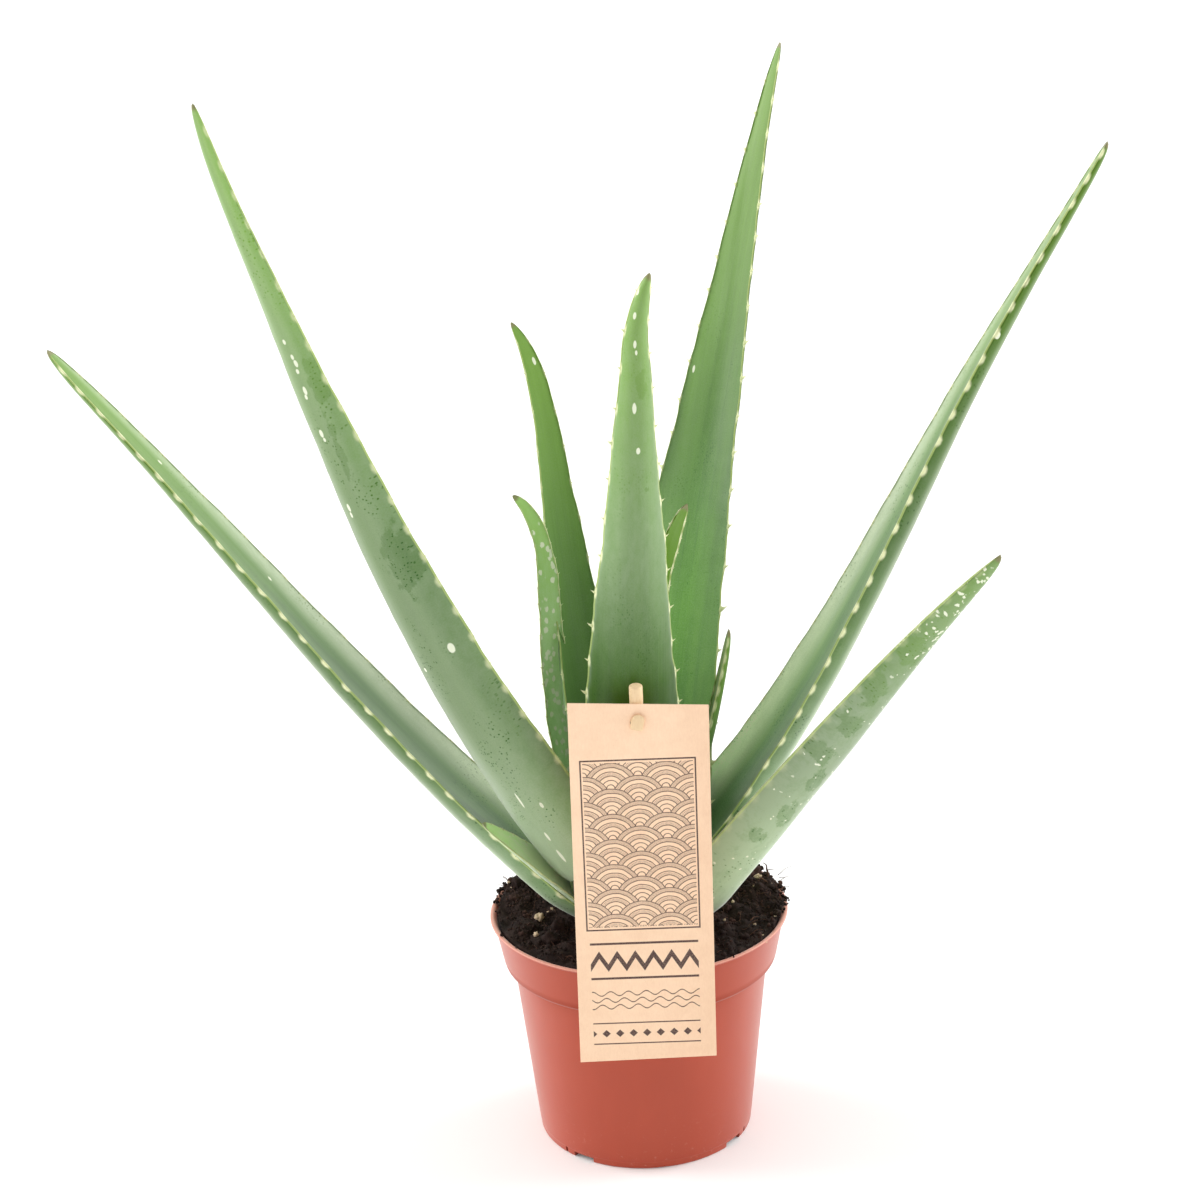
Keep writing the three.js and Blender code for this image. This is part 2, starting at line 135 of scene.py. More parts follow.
LEAVES = {
    "leaf_centre_young": Leaf(
        azimuth=45, lean=(2.5, 6.9, 22), hook=18, side=-1.6, curl=-3.5, roll=(0, 5),
        length=166, half=9.4, thick=4, channel=0.32, taper=0.57, blunt=1.8,
        out=2, up=96, foot=14, teeth=7, tooth=0.6, first=(22, 19),
        light=(0.75, 0.85, 0.85), deep=0.1, bloom=0, sheen=0.1, specked=0,
    ),
    "leaf_right_slender": Leaf(
        azimuth=6, lean=(20.5, 17.2, 11.7), hook=-0.9, roll=(0, 2),
        length=116.5, half=5.5, thick=4, channel=0.32, taper=0.83, blunt=2.4,
        out=7, across=-1, up=99, foot=14, teeth=7, tooth=0.4,
        deep=0.2, bloom=0.1, sheen=0.4, marks=0.5,
    ),
    "leaf_tall": Leaf(
        azimuth=64, lean=(10.7, 26.5, 17.3), hook=3.1, side=-2.8, curl=-5.8,
        roll=(10.6, -25.5), length=363.5, half=27.2, thick=13.5, channel=0.16, taper=0.89,
        blunt=1.4, out=6.5, across=1.5, up=87, teeth=15.5, tooth=1.15,
        light=(3.0, 1.2, 1.0), rise=(60, 210), sides=(0.8, 1.1), painted_underside_light=0.45, sheen=0.05,
        deep=0.2, bloom=0.4, rim=(0.75, 0.4), spots=((226, 11, 1.8, 0.6),),
    ),
    "leaf_right_high": Leaf(
        azimuth=13, lean=(51, 29.7, 45), hook=-12.5, side=-1, curl=1, roll=(10, -16),
        length=346, half=18.5, thick=11.5, channel=0.24, taper=0.81, blunt=2.6,
        out=6.5, up=100, teeth=12, tooth=0.45, first=(21, 17),
        light=(2.6, 1.15, 1.05), rise=(20, 190), sides=(0.8, 1), painted_underside_light=0.72, pale=(0, 0.6),
        sheen=0.3, deep=0.35, bloom=0.4, specked=1, rim=(1, 0),
        spots=((262, -6.4, 1.6, 0.6),),
    ),
    "leaf_left_high": Leaf(
        azimuth=212, lean=(40.5, 24.4, 21.9), hook=-3.7, side=-0.9, curl=0.4, roll=(20, 12),
        length=375, half=23.6, thick=11.5, channel=0.33, taper=0.91, blunt=2,
        flick=10, out=4, up=96, teeth=13, tooth=0.5,
        light=(1.6, 0.8, 1.2), sides=(0.66, 1.3), pale=(0.25, 0),
        sheen=0.45, deep=0.35, bloom=0.5, specked=1, rim=(0, 0.4), marks=0.5,
        spots=(
            (287, 2.4, 1.1, 0.6), (281, 3.1, 1.2, 0.6), (278.5, 3.4, 1.6, 0.7),
            (275.5, 2.9, 1.1, 0.6), (268, 2.7, 1.8, 0.7), (265.5, 2.2, 1.1, 0.6),
            (251, 2.3, 1.7, 0.8), (248.5, 2.6, 1.0, 0.6), (221, 0.6, 1.8, 0.7),
            (218, 0.3, 1.4, 0.6), (156, 12, 2.4, 1.0), (149, -1.6, 1.1, 0.6),
            (83, 5, 4.4, 0.5), (78, 11.2, 1.6, 0.6), (63, 5.8, 2.6, 0.6), (52, 5.4, 4, 0.8),
        ),
        rubs=((270, 7, 10, 2.4), (242, 6, 18, 1.2), (196, 9.8, 15, 5)),
    ),
    "leaf_back_left": Leaf(
        azimuth=125, lean=(12.5, 14.1, 13.7), hook=25, side=-3.5, curl=2.2, roll=(2, -6),
        length=248, half=15.6, thick=11, channel=0.32, taper=0.76, blunt=1.6,
        flick=14, out=7.5, up=86, teeth=16, tooth=0.6, light=(1.05, 1.15, 1.15),
        sheen=0.3, deep=0.3, bloom=0.16, specked=0, rim=(0.1, 0.2), marks=0.6,
        spots=((230, -1.4, 1.7, 0.75),),
    ),
    "leaf_front": Leaf(
        azimuth=279, lean=(18, 10.8, -1), hook=-2.5, side=3.3, curl=-1.5, roll=(-1, -2),
        length=284, half=25.6, thick=12, channel=0.32, taper=0.93, blunt=2.2,
        flick=22, out=8, across=-6.4, up=86, teeth=14.5,
        light=(0.4, 1.03, 1.24), rise=(95, 190), sides=(1.2, 1.05), sheen=0.2, deep=0.55,
        bloom=0.55, bare=(105, 190), specked=0.4, rim=(0.05, 0.05),
        spots=(
            (276.5, -2.2, 1.2, 0.5), (268.5, -1.6, 1.4, 0.6), (258.7, -0.6, 1.5, 0.6),
            (255.8, -0.1, 1.0, 0.5), (236, -0.8, 2.2, 0.8), (220.5, 0.6, 1.3, 0.8),
        ),
        rubs=((245, 1.6, 6, 2.2), (206, 3.9, 1.1, 0.9)),
    ),
    "leaf_left_small": Leaf(
        azimuth=209, lean=(43, 45.5, 48.6), side=4, curl=4, roll=(-28, -35),
        length=88, half=10.4, thick=4, channel=0.2, taper=0.55,
        out=8.9, across=-1.5, up=84.8, foot=14, teeth=7, tooth=0.45,
        light=(3.1, 3.1, 3.1), painted_underside_light=0.6, sheen=0.4, deep=-0.2, bloom=1.4, specked=0,
        rim=(0, 0), marks=0.4,
        flecks=((0.15, 0.1, 0.8, 0.5),),
    ),
    "leaf_left_low": Leaf(
        azimuth=178, lean=(51.5, 38.9, 42.3), hook=-2.2, side=1.5, curl=0.6, roll=(-7, -8.5),
        length=326.5, half=21, thick=11.5, channel=0.16, taper=0.75, blunt=2.7,
        out=7.5, up=81.7, teeth=12, tooth=0.45, light=(2.5, 1.05, 1.15), painted_underside_light=0.75,
        pale=(0.7, 0), sheen=0.35, deep=0.3, bloom=0.4, specked=1, rim=(0, 1),
        spots=((267, -2.2, 1.4, 0.6), (205, -4, 1.2, 0.6)),
    ),
    "leaf_right_low": Leaf(
        azimuth=-27, lean=(39, 39.4, 44.3), hook=3, side=-3.6, curl=-1, roll=(-3, -4),
        length=233, half=15.4, thick=15, channel=0.28, taper=0.54,
        out=7, up=82, teeth=9, tooth=0.4, light=(2.1, 1.15, 1.1), sheen=0.8, deep=0.3,
        bloom=0.95, rubbed=0.1, specked=0.8, rim=(0.2, 0.2), marks=0.2,
        flecks=((0.7, 0.72, 0.97, 0.4), (0.08, 0.05, 0.8, 0.3)),
        rubs=(
            (125, -8.5, 6, 3.4), (142, -7, 7, 2.6), (161, -7.5, 9, 3), (112, -5, 7, 2.2),
            (93, -6, 8, 2.4), (182, -5, 8, 3), (78, -9, 5, 2),
        ),
    ),
    "leaf_left_spotted": Leaf(
        azimuth=165, lean=(12.5, 5, -15.7), hook=54.4, side=10.5, curl=18, roll=(-55, -60),
        length=189, half=6.6, thick=5, channel=0.12, taper=0.4,
        out=19.1, across=-18, up=82, foot=14, teeth=6.8, tooth=0.5,
        light=(2.8, 2.6, 2.0), painted_underside_light=0.4, sheen=0.3, deep=-0.1, bloom=0.7, specked=0,
        rim=(0, 0), marks=0.4,
        flecks=((1.4, 0.15, 0.9, 0.8),),
    ),
}
FOOT_LEAN = 8.0  # lean of every leaf where it leaves the stem
FOOT_WIDTH = 0.7  # width of the foot over the greatest width
WIDTH_POWER = 1.2  # how late the narrowing starts
THICKNESS_POWER = 0.78  # how the thickness follows the width
LAST_THIRD = 0.7  # where hook and curl set in
LAST_TENTH = 0.9  # where flick sets in
BLUNT_START = 10.0  # the blunt end's width is given this far from the tip
BLUNT_FADE = 25.0  # and it fades out over this distance
FOOT_FADE = 1.6  # the foot's own width and flatness fade out over this many feet
CHANNEL_END = 0.5  # how much of the leaf, from the tip, the channel takes to grow full
BLADE_END = 0.998  # the last row of the blade
ROW_POWER = 0.94  # the rows stand closer together towards the tip
LEAST_ROWS = 40
FACE_POINTS = 19  # points across each face of a leaf
BEAD = 0.5  # radius of the horny line along the margins
BEAD_POINTS = ((0.8, -0.35), (0.0, 0.6), (-0.8, -0.35))  # up and out, over that radius
LEAST_TIP = 0.4  # the last point lies at least this far past the last row
WAVER = ((67, 0.28), (31, 0.18), (17, 0.1), (7, 0.05))  # period and size of a margin's waves
SWELL = (2.4, 0.35)  # length and height of the margin's swelling at a tooth
MARK = (3.0, 0.6)  # length and width of the pale patch there
RIPPLE_SIZE = 0.016  # how uneven a face is, over half the leaf's width
RIPPLES = ((1, 13, 34, 0), (0.3, 3.1, 60, 5))  # share, width, length and seed of its parts
LAST_TOOTH = 0.985  # no tooth stands beyond this part of the length
CROWDING = (0.6, 0.3)  # where the teeth start to crowd, and how much
LEAST_TOOTH = 0.25  # a lower tooth is left out
TOOTH_ROOT = 0.45  # how deep its root stands in the margin
TOOTH_SIZES = (0.75, 1.2)  # they vary by this much
TOOTH_BASE = (1.35, 0.5)  # half length and half thickness of its root

POT_PROFILE = (  # radius and height, from the base's middle out, up, over the lip and back
    (16, 0), (17.5, 2), (34.9, 2), (36.4, 0), (43, 0), (43.4, 0.5),
    (43.63, 2.9), (43.73, 3.05), (51.3, 73.3),
    (53.6, 73.9), (54.9, 75.1), (55.4, 76.9),
    (58.6, 93.3), (60, 93.5), (60, 94.3), (59.6, 94.5),
    (58.6, 94.5), (57.5, 93.3), (54.1, 76.9), (52.1, 75.6), (50.2, 74.3),
    (42.3, 1.2), (37, 1.2), (35.5, 3.2), (16.9, 3.2), (15.4, 1.2),
)
POT_SHARP = 32.0  # edges over this many degrees stay sharp
LIP_HIGHLIGHT = (POT_HEIGHT - 1.0, POT_HEIGHT - 0.2)  # the painted highlight on the lip's top sets in between these
FOLD_FROM = (72, 74)  # heights between which the painted shade under the rim band sets in
FOLD_TO = (78.5, 75.5)  # and between which it ends, from above
DRAIN_ANGLES = (-126.5, -36.5, 53.5, 143.5)
DRAIN_START = 34.5  # distance of the openings from the axis
DRAIN_REACH = 12.0  # how far out they go from there
DRAIN_SIZE = (9.5, 2.3)  # width and height
SLIT_SIZE = (1.2, 2.8)
SLIT_OFFSET = 12.0  # degrees from the opening beside it
ARCH_ANGLE = -81.5  # the low arch in the foot ring
ARCH_RADIUS = 22.3
ARCH_HEIGHT = 0.5
ARCH_ENDS = (38, 50)  # its inner and outer end, from the axis

SOIL_LEVEL = 94.0  # height of its surface between the heaps
SOIL_WALL = (  # radius and height of its side
    (41.7, 3.7), (49.6, 74.2), (52.1, 75.9), (53.7, 77.8), (56.6, 91.5),
)
SOIL_RADIUS = 56.9  # of its top
SOIL_CALM = 52.0  # within this radius its surface is fully loose
SOIL_MIDDLE = 1.2  # radius of the innermost ring
SOIL_STEPS = (400, 84)  # round the soil and across its top
HEAPS = (  # x, y, rise and spread
    (48, 14, 4.5, 15), (-46, 20, 4, 16), (6, 44, 2.5, 18), (-8, -4, 2, 30),
)
CLOD_LAYERS = ((13, 1.7, 1.3), (6, 1.0, 4.1), (2.8, 0.5, 8.2))  # size, depth and seed
CRUMB_CIRCLE = 56.5  # loose crumbs lie within this radius
SOIL_LIMIT = 57.5  # and nothing loose reaches past this one, within the pot
CRUMB_KINDS = ((1, 0.46, 1.2), (3, 1.7, 3.2))  # detail, usual and largest size; clods last
LEAST_CRUMB = 0.22
LIP_INNER = 55.5  # radius from which the lip's crumbs lie
LIP_TOP = 94.4  # height that they lie on
LIP_SIZES = (0.35, 1.1)
FIBRE_LENGTHS = (2, 9)
FIBRE_RADII = (0.06, 0.15)
FIBRE_BEND = 1.1  # usual bend and rise from end to end
FIBRE_RISE = 0.35
STRAY_GRAINS = 16
GRAIN_SIZES = (0.35, 0.8)
LUMP_FORMS = 8  # different lumps that crumbs and grains are made from

LIP_CRUMBS = (  # direction, spread in degrees, number, and how far out they reach
    (18, 14, 90, 61), (-10, 10, 20, 58.6), (-35, 14, 10, 58.6), (156, 6, 34, 60.6),
    (172, 12, 6, 58.2), (-150, 24, 6, 57.8), (90, 60, 60, 59), (-54, 3, 5, 60.3),
)
LONG_FIBRES = (  # start, end, sideways bow and thickness
    ((53, 17, 98), (51.6, 18.4, 103.6), (0.8, 0, 0.6), 0.5),
    ((52.5, 17, 99), (55.4, 15, 102), (-0.6, 0, 0.8), 0.3),
    ((57.5, 21, 96.5), (64.4, 23, 99.6), (0, 0, 0.9), 0.16),
    ((58, 19, 96.5), (63, 17.5, 98.3), (0, 0, -0.6), 0.14),
    ((57.8, 9, 95.6), (61.6, 9.5, 96.4), (0, 1, 0.5), 0.22),
    ((56.5, 12, 96.5), (60.6, 14, 99.5), (0.6, 0, 0.5), 0.2),
    ((-52.5, 22, 96.5), (-54.8, 24.6, 97.4), (-1.4, 0, 2.2), 0.22),
    ((-54, 19, 96), (-58.6, 18, 98), (0, 0, 0.8), 0.14),
    ((50, 12, 99.5), (52.6, 10, 98.6), (0, 0, 0.5), 0.42),
    ((44, -18, 95.5), (47.5, -16, 95.9), (0, 0, 0.7), 0.3),
)
PERLITE = (  # x, y and size of the grains seen among the crumbs
    (-40.1, -7.6, 1.9), (-41, -22.8, 1.3), (-36.1, 7.9, 0.7), (-34.8, -1.1, 0.8),
    (-36.6, -0.9, 0.6), (-29.8, -2.4, 0.8), (-52.3, 23.8, 1.0), (53.8, 11.2, 0.9),
    (54.5, -10.9, 1.0), (38.1, -0.3, 0.8), (49.1, -33.4, 0.8), (49, 16.6, 1.7),
    (45.8, -16.9, 0.6), (48.5, -26.8, 0.7), (47, 8, 0.6), (34, -14, 0.5),
)

STEM_PROFILE = ((8.2, 62), (11, 70), (11, 95), (6.8, 102), (3, 105.2))  # radius, height
STEM_ROUNDING = 2.5
STEM_KNOBS = 0.05  # how uneven it is, over its radius

CARD_CORNERS = ((-23.6, 206.8), (28.4, 204.2), (27.9, 59.4), (-24.6, 58.5))  # x, height
CARD_THICKNESS = 0.6
CARD_HOLE = (1.5, 198.2, 2.2)  # x, height and radius
CARD_EDGE = 0.12  # width of its softened edge

PRINT_MIDDLE = 1.5  # x of the print's middle
PRINT_HALF = 20.5  # half its width
FIELD = (149.0, 33.5)  # middle and half height of the field of scales
SCALE_START = 116.0  # height at which one of their rows starts
SCALE_RADIUS = 10.25
BORDER_GAPS = (0.9, 1.1)  # from the print's sides and the field's ends to the line round them
BORDER_LINE = 0.25  # half the thickness of that line
ZIGZAG = (98.4, 1.5, 5.6, 6.9)  # height, half thickness, rise and period
RULES = ((108.6, 0.4), (94.0, 0.4))  # height and half thickness of two level lines
WAVES = ((87.5, 0), (84.7, 1.5), (81.9, 3.0))  # height and start of the wavy lines
WAVE_LINE = (0.9, 0.92, 0.16)  # their rise, turn for each millimetre and half thickness
LOZENGES = (70.5, 5.2, 2.6, 1.7)  # height, period, stretch and size
LOZENGE_LINES = (4.4, 0.2)  # the lines above and below them: distance and half thickness

STICK_X = 1.8  # of its middle line
STICK_RADIUS = 2.5
STICK_ENDS = (46.0, 212.0)
STICK_REST = 205.5  # height at which it touches the card's back
STICK_GAP = 0.3  # how near it comes to the card there
STICK_TILT = 6.0
STICK_FOOT = 2.1  # radius of its lower end
STICK_TOP = ((0.35, 0.08), (0.1, 0.4))  # below its upper end, and how much slimmer there
STICK_KNOBS = (0.04, 0.31)  # how much its radius varies, and the turn for each millimetre
STICK_BOW = (0.12, 1 / 23)  # the same for how far it strays sideways
PEG_SIZE = (4.8, 1.9, 5.9)  # width, depth and height
PEG_MIDDLE = (2.1, 198.9)  # x and height
PEG_TILT = 12.0
PEG_GAP = 0.25  # between it and the card
PEG_DOME = 0.62  # how far up its rounded end starts
PEG_SQUARE = 0.8  # how round its section is: 1 is an oval, and less is squarer
NECK_RADIUS = 0.9  # of the wood that joins it to the stick through the card's hole
NECK_LIFT = 0.7  # above the hole's middle

TUBE_ASIDE = (0.31, 0.52, 0.79)  # no tube here runs this way

CAMERA_PLACE = (0.0, -938.0, 543.0)
CAMERA_DOWN = 18.68  # degrees below level
CAMERA_LEFT = 0.65  # degrees from +Y towards -X
CAMERA_ROLL = -2.31  # degrees, anticlockwise
CAMERA_LENS = 76.68
SENSOR_WIDTH = 36.0
VIEW_END = 50.0  # metres
LEFT_LIGHT = ((0.86, -0.22, -0.46), (1, 0.99, 0.97))  # the way it shines, and its colour
RIGHT_LIGHT = ((-0.86, -0.26, -0.44), (1, 1, 1))
LIGHT_SPREAD = 35.0  # degrees


# --------------------------------------------------------------- settings


def colour_setting(name, description, default):
    return FloatVectorProperty(
        name=name, description=description, default=default,
        subtype="COLOR", size=3, min=0, max=1,
    )


class AloeStageSettings(bpy.types.PropertyGroup):
    """Floor, lights and camera."""

    floor: colour_setting("Floor", "Colour of the floor", tint(253, 253, 252))
    glow: colour_setting("Glow", "Colour of the floor's faint own light", tint(222, 240, 242))
    floor_radius: FloatProperty(
        name="Floor radius", description="How far the floor reaches",
        default=45, min=1, unit="LENGTH",
    )
    left_light: FloatProperty(
        name="Left light", description="Strength of the light from the left",
        default=1.9, min=0,
    )
    right_light: FloatProperty(
        name="Right light", description="Strength of the light from the right",
        default=1.7, min=0,
    )
    lens: FloatProperty(
        name="Lens", description="Focal length of the camera",
        default=CAMERA_LENS, min=10, unit="CAMERA",
    )


class AloePotSettings(bpy.types.PropertyGroup):
    """The nursery pot."""

    plastic: colour_setting("Plastic", "Colour of the moulded plastic", tint(175, 69, 43))
    # The worn edge colour is a painted highlight on the lip's top.
    worn: colour_setting("Worn edge", "Colour of the lip's worn top", tint(224, 160, 142))
    dust: colour_setting("Dust", "Colour of the dust near the foot", tint(206, 150, 130))
    segments: IntProperty(
        name="Segments", description="Steps around the pot", default=240, min=24,
    )
    rounding: FloatProperty(
        name="Rounding", description="Radius of the moulded corners",
        default=0.5 * MM, min=0, unit="LENGTH",
    )


class AloeSoilSettings(bpy.types.PropertyGroup):
    """The peat in the pot."""

    peat: colour_setting("Peat", "Colour of the damp peat", tint(60, 43, 38))
    brown: colour_setting("Brown peat", "Colour of the peat's drier parts", tint(84, 58, 50))
    fibre: colour_setting("Fibre", "Colour of the peat's fibres", tint(88, 56, 42))
    pale_fibre: colour_setting("Pale fibre", "Their lighter parts", tint(132, 96, 74))
    grain: colour_setting("Grain", "Colour of the perlite grains", tint(214, 186, 152))
    pale_grain: colour_setting("Pale grain", "Their lighter parts", tint(240, 232, 218))
    crumbs: IntProperty(name="Crumbs", description="Loose crumbs", default=6000, min=0)
    clods: IntProperty(name="Clods", description="Larger crumbs", default=110, min=0)
    fibres: IntProperty(name="Fibres", description="Loose fibres", default=260, min=0)


class AloeLeafSettings(bpy.types.PropertyGroup):
    """The stem and its leaves."""

    deep: colour_setting("Deep green", "Green of the darkest skin", tint(38, 80, 22))
    fresh: colour_setting("Fresh green", "Green of the youngest skin", tint(88, 132, 44))
    tip: colour_setting("Tip green", "Green near a leaf's tip", tint(126, 162, 64))
    bloom: colour_setting("Bloom", "Colour of the wax on the skin", tint(142, 160, 128))
    # Thick bloom is also painted glare: a painted highlight beside some margins and along the
    # underside's keel.
    thick_bloom_and_glare: colour_setting("Thick bloom", "Colour of thick wax", tint(206, 215, 190))
    fleck: colour_setting("Fleck", "Colour of the pale spots", tint(246, 249, 226))
    margin: colour_setting("Margin", "Colour of the horny margin", tint(188, 206, 124))
    tooth_tip: colour_setting("Tooth tip", "Colour of the teeth", tint(240, 242, 194))
    dry_tip: colour_setting("Dry tip", "Colour of a leaf's dry end", tint(132, 120, 88))
    pale_stem: colour_setting("Pale stem", "Colour of the stem's pale parts", tint(186, 194, 150))
    scar: colour_setting("Scar", "Colour of the rings round the stem", tint(146, 122, 84))
    row_step: FloatProperty(
        name="Row step", description="Distance between the rows of a leaf's mesh",
        default=1.6 * MM, min=0.5 * MM, unit="LENGTH",
    )
    tooth_height: FloatProperty(
        name="Tooth height", description="Height of a marginal tooth",
        default=2.5 * MM, min=0, unit="LENGTH",
    )


class AloeLabelSettings(bpy.types.PropertyGroup):
    """The card and the stick it hangs on."""

    card: colour_setting("Card", "Colour of the card", tint(254, 220, 188))
    speck: colour_setting("Speck", "Colour of the card's dark specks", tint(206, 158, 118))
    ink: colour_setting("Ink", "Colour of the print", tint(74, 52, 50))
    wood: colour_setting("Wood", "Colour of the stick", tint(240, 212, 172))
    pores: colour_setting("Pores", "Colour of the wood's pores", tint(176, 132, 90))


# ------------------------------------------------------------------ shader


class Field:
    """A number that changes over a surface. Arithmetic on it adds Math nodes."""

    def __init__(self, recipe, socket):
        self.recipe = recipe
        self.socket = socket

    def math(self, operation, *others):
        """The result of a Math node that takes this number first."""
        return self.recipe.math(operation, self, *others)

    def __add__(self, other):
        return self.math("ADD", other)

    __radd__ = __add__

    def __sub__(self, other):
        return self.math("SUBTRACT", other)

    def __rsub__(self, other):
        return self.recipe.math("SUBTRACT", other, self)

    def __mul__(self, other):
        return self.math("MULTIPLY", other)

    __rmul__ = __mul__

    def __truediv__(self, other):
        return self.math("DIVIDE", other)

    def __pow__(self, other):
        return self.math("POWER", other)

    def __abs__(self):
        return self.math("ABSOLUTE")

    def either(self, other):
        """The larger of the two."""
        return self.math("MAXIMUM", other)

    def clamped(self):
        """The number kept between 0 and 1."""
        return self.recipe.math("ADD", self, 0.0, clamp=True)

    def smooth(self, low, high):
        """0 below low and 1 above high; low may be the larger of the two."""
        reverse = low > high
        ends = {"From Min": min(low, high), "From Max": max(low, high)}
        settings = {"interpolation_type": "SMOOTHSTEP"}
        step = self.recipe.field("MapRange", settings, {"Value": self, **ends})
        return 1 - step if reverse else step


class Recipe:
    """The nodes of one new material or world, with short ways to add them."""

    def __init__(self, holder):
        self.holder = holder
        holder.use_nodes = True
        self.tree = holder.node_tree
        self.tree.nodes.clear()

    @classmethod
    def material(cls, name):
        return cls(bpy.data.materials.new(name))

    def node(self, kind, settings, values):
        """Adds a node: its settings first, then its sockets' values and links."""
        made = self.tree.nodes.new("ShaderNode" + kind)
        for key, value in settings.items():
            setattr(made, key, value)
        for key, value in values.items():
            if isinstance(value, Field):
                self.tree.links.new(value.socket, made.inputs[key])
            elif made.inputs[key].type == "RGBA":
                made.inputs[key].default_value = (*value, 1)
            else:
                made.inputs[key].default_value = value
        return made

    def field(self, kind, settings, values, output=0):
        return Field(self, self.node(kind, settings, values).outputs[output])

    def math(self, operation, *values, clamp=False):
        settings = {"operation": operation, "use_clamp": clamp}
        return self.field("Math", settings, dict(enumerate(values)))

    def attribute(self, name):
        return self.field("Attribute", {"attribute_name": name}, {}, "Fac")

    def place(self):
        """Where the point lies in the object's frame, in millimetres."""
        place = self.field("TexCoord", {}, {}, "Object")
        return self.scaled(place, (1 / MM,) * 3)

    def parts(self, vector):
        split = self.node("SeparateXYZ", {}, {0: vector})
        return [Field(self, socket) for socket in split.outputs]

    def vector(self, x, y, z):
        return self.field("CombineXYZ", {}, {0: x, 1: y, 2: z})

    def scaled(self, vector, factors):
        return self.field("VectorMath", {"operation": "MULTIPLY"}, {0: vector, 1: factors})

    def noise(self, vector, scale, detail=2.0, rough=0.5):
        """Noise with scale waves for each millimetre, or one scale for each direction."""
        if isinstance(scale, tuple):
            vector, scale = self.scaled(vector, scale), 1.0
        values = {"Vector": vector, "Scale": scale, "Detail": detail, "Roughness": rough}
        return self.field("TexNoise", {}, values)

    def cells(self, vector, scales):
        """Distance to the nearest cell's middle, and that cell's own random number."""
        values = {"Vector": self.scaled(vector, scales), "Scale": 1.0}
        cell = self.node("TexVoronoi", {}, values)
        random_number = self.parts(Field(self, cell.outputs["Color"]))[0]
        return Field(self, cell.outputs["Distance"]), random_number

    def mix(self, factor, first, second):
        settings = {"data_type": "RGBA"}
        return self.field("Mix", settings, {0: factor, 6: first, 7: second}, 2)

    def bump(self, height, depth):
        """A bump whose height, 0 to 1, stands for depth in millimetres."""
        values = {"Height": height, "Distance": depth * MM, "Strength": 1.0}
        return self.field("Bump", {}, values)

    def surface(self, values):
        shader = self.field("BsdfPrincipled", {}, values)
        self.node("OutputMaterial", {}, {"Surface": shader})
        return self.holder


# ------------------------------------------------------------------ meshes


class Shape:
    """Points in millimetres, the faces between them, and numbers kept per point."""

    def __init__(self, *extras):
        self.points = []
        self.faces = []
        self.extras = {name: [] for name in extras}
        self.count = 0

    def add(self, points, faces, **extras):
        points = np.asarray(points, float)
        self.points.append(points)
        self.faces += [tuple(int(i) + self.count for i in face) for face in faces]
        for name, kept in self.extras.items():
            kept.append(np.broadcast_to(np.asarray(extras.get(name, 0.0), float), len(points)))
        self.count += len(points)

    def mesh(self, name):
        mesh = bpy.data.meshes.new(name)
        mesh.from_pydata((np.concatenate(self.points) * MM).tolist(), [], self.faces)
        for key, kept in self.extras.items():
            layer = mesh.attributes.new(key, "FLOAT", "POINT")
            layer.data.foreach_set("value", np.concatenate(kept).astype(np.float32))
        mesh.polygons.foreach_set("use_smooth", [True] * len(mesh.polygons))
        mesh.validate()
        mesh.update()
        return mesh


def angles_round(count):
    """That many angles in radians, evenly spread round a circle."""
    return np.arange(count) * 2 * math.pi / count


def around(radius, height, angles):
    """Points at the given angles round the Z axis."""
    heights = np.broadcast_to(height, len(angles))
    return np.stack([radius * np.cos(angles), radius * np.sin(angles), heights], 1)


def ring_faces(rows, columns):
    """Quads between closed rings that follow each other in one list of points."""
    faces = []
    for row in range(rows - 1):
        for column in range(columns):
            here = row * columns + column
            beside = row * columns + (column + 1) % columns
            faces.append((here, beside, beside + columns, here + columns))
    return faces


def flat_ended(rows, columns):
    """Those quads, and a flat face over each end."""
    last = (rows - 1) * columns
    ends = [tuple(range(columns))[::-1], tuple(range(last, last + columns))]
    return ring_faces(rows, columns) + ends


def point_ended(rows, columns):
    """Those quads, with each end closed to a point. The two points follow the rings."""
    faces = ring_faces(rows, columns)
    first, last = rows * columns, rows * columns + 1
    top = first - columns
    for column in range(columns):
        beside = (column + 1) % columns
        faces.append((first, beside, column))
        faces.append((last, top + column, top + beside))
    return faces


def softened(profile, reach, steps=4):
    """The profile with each corner between its ends turned into a curve that long."""
    profile = [np.array(point, float) for point in profile]
    curve = [profile[0]]
    for before, corner, after in zip(profile, profile[1:], profile[2:]):
        back, on = before - corner, after - corner
        back *= min(reach / np.linalg.norm(back), 0.45)
        on *= min(reach / np.linalg.norm(on), 0.45)
        for step in np.linspace(0, 1, steps):
            curve.append(corner + back * (1 - step) ** 2 + on * step**2)
    curve.append(profile[-1])
    return np.array(curve)


def turned(shape, profile, segments):
    """Adds a solid of revolution. Both ends of the profile close on the axis."""
    angles = angles_round(segments)
    rings = [around(radius, height, angles) for radius, height in profile]
    ends = [(0, 0, profile[0][1]), (0, 0, profile[-1][1])]
    shape.add(np.concatenate([*rings, ends]), point_ended(len(profile), segments))


def unit(vectors):
    return vectors / np.linalg.norm(vectors, axis=-1, keepdims=True)


def tube(shape, line, radii, sides):
    """Adds a round tube along a line of points."""
    line = np.asarray(line, float)
    along = unit(np.gradient(line, axis=0))
    across = unit(np.cross(along, TUBE_ASIDE))
    upward = np.cross(along, across)
    angles = angles_round(sides)[:, None]
    wheel = across[:, None] * np.cos(angles) + upward[:, None] * np.sin(angles)
    points = line[:, None] + wheel * np.asarray(radii, float)[:, None, None]
    shape.add(points.reshape(-1, 3), flat_ended(len(line), sides))


def face_outwards(mesh):
    work = bmesh.new()
    work.from_mesh(mesh)
    bmesh.ops.recalc_face_normals(work, faces=work.faces)
    work.to_mesh(mesh)
    work.free()


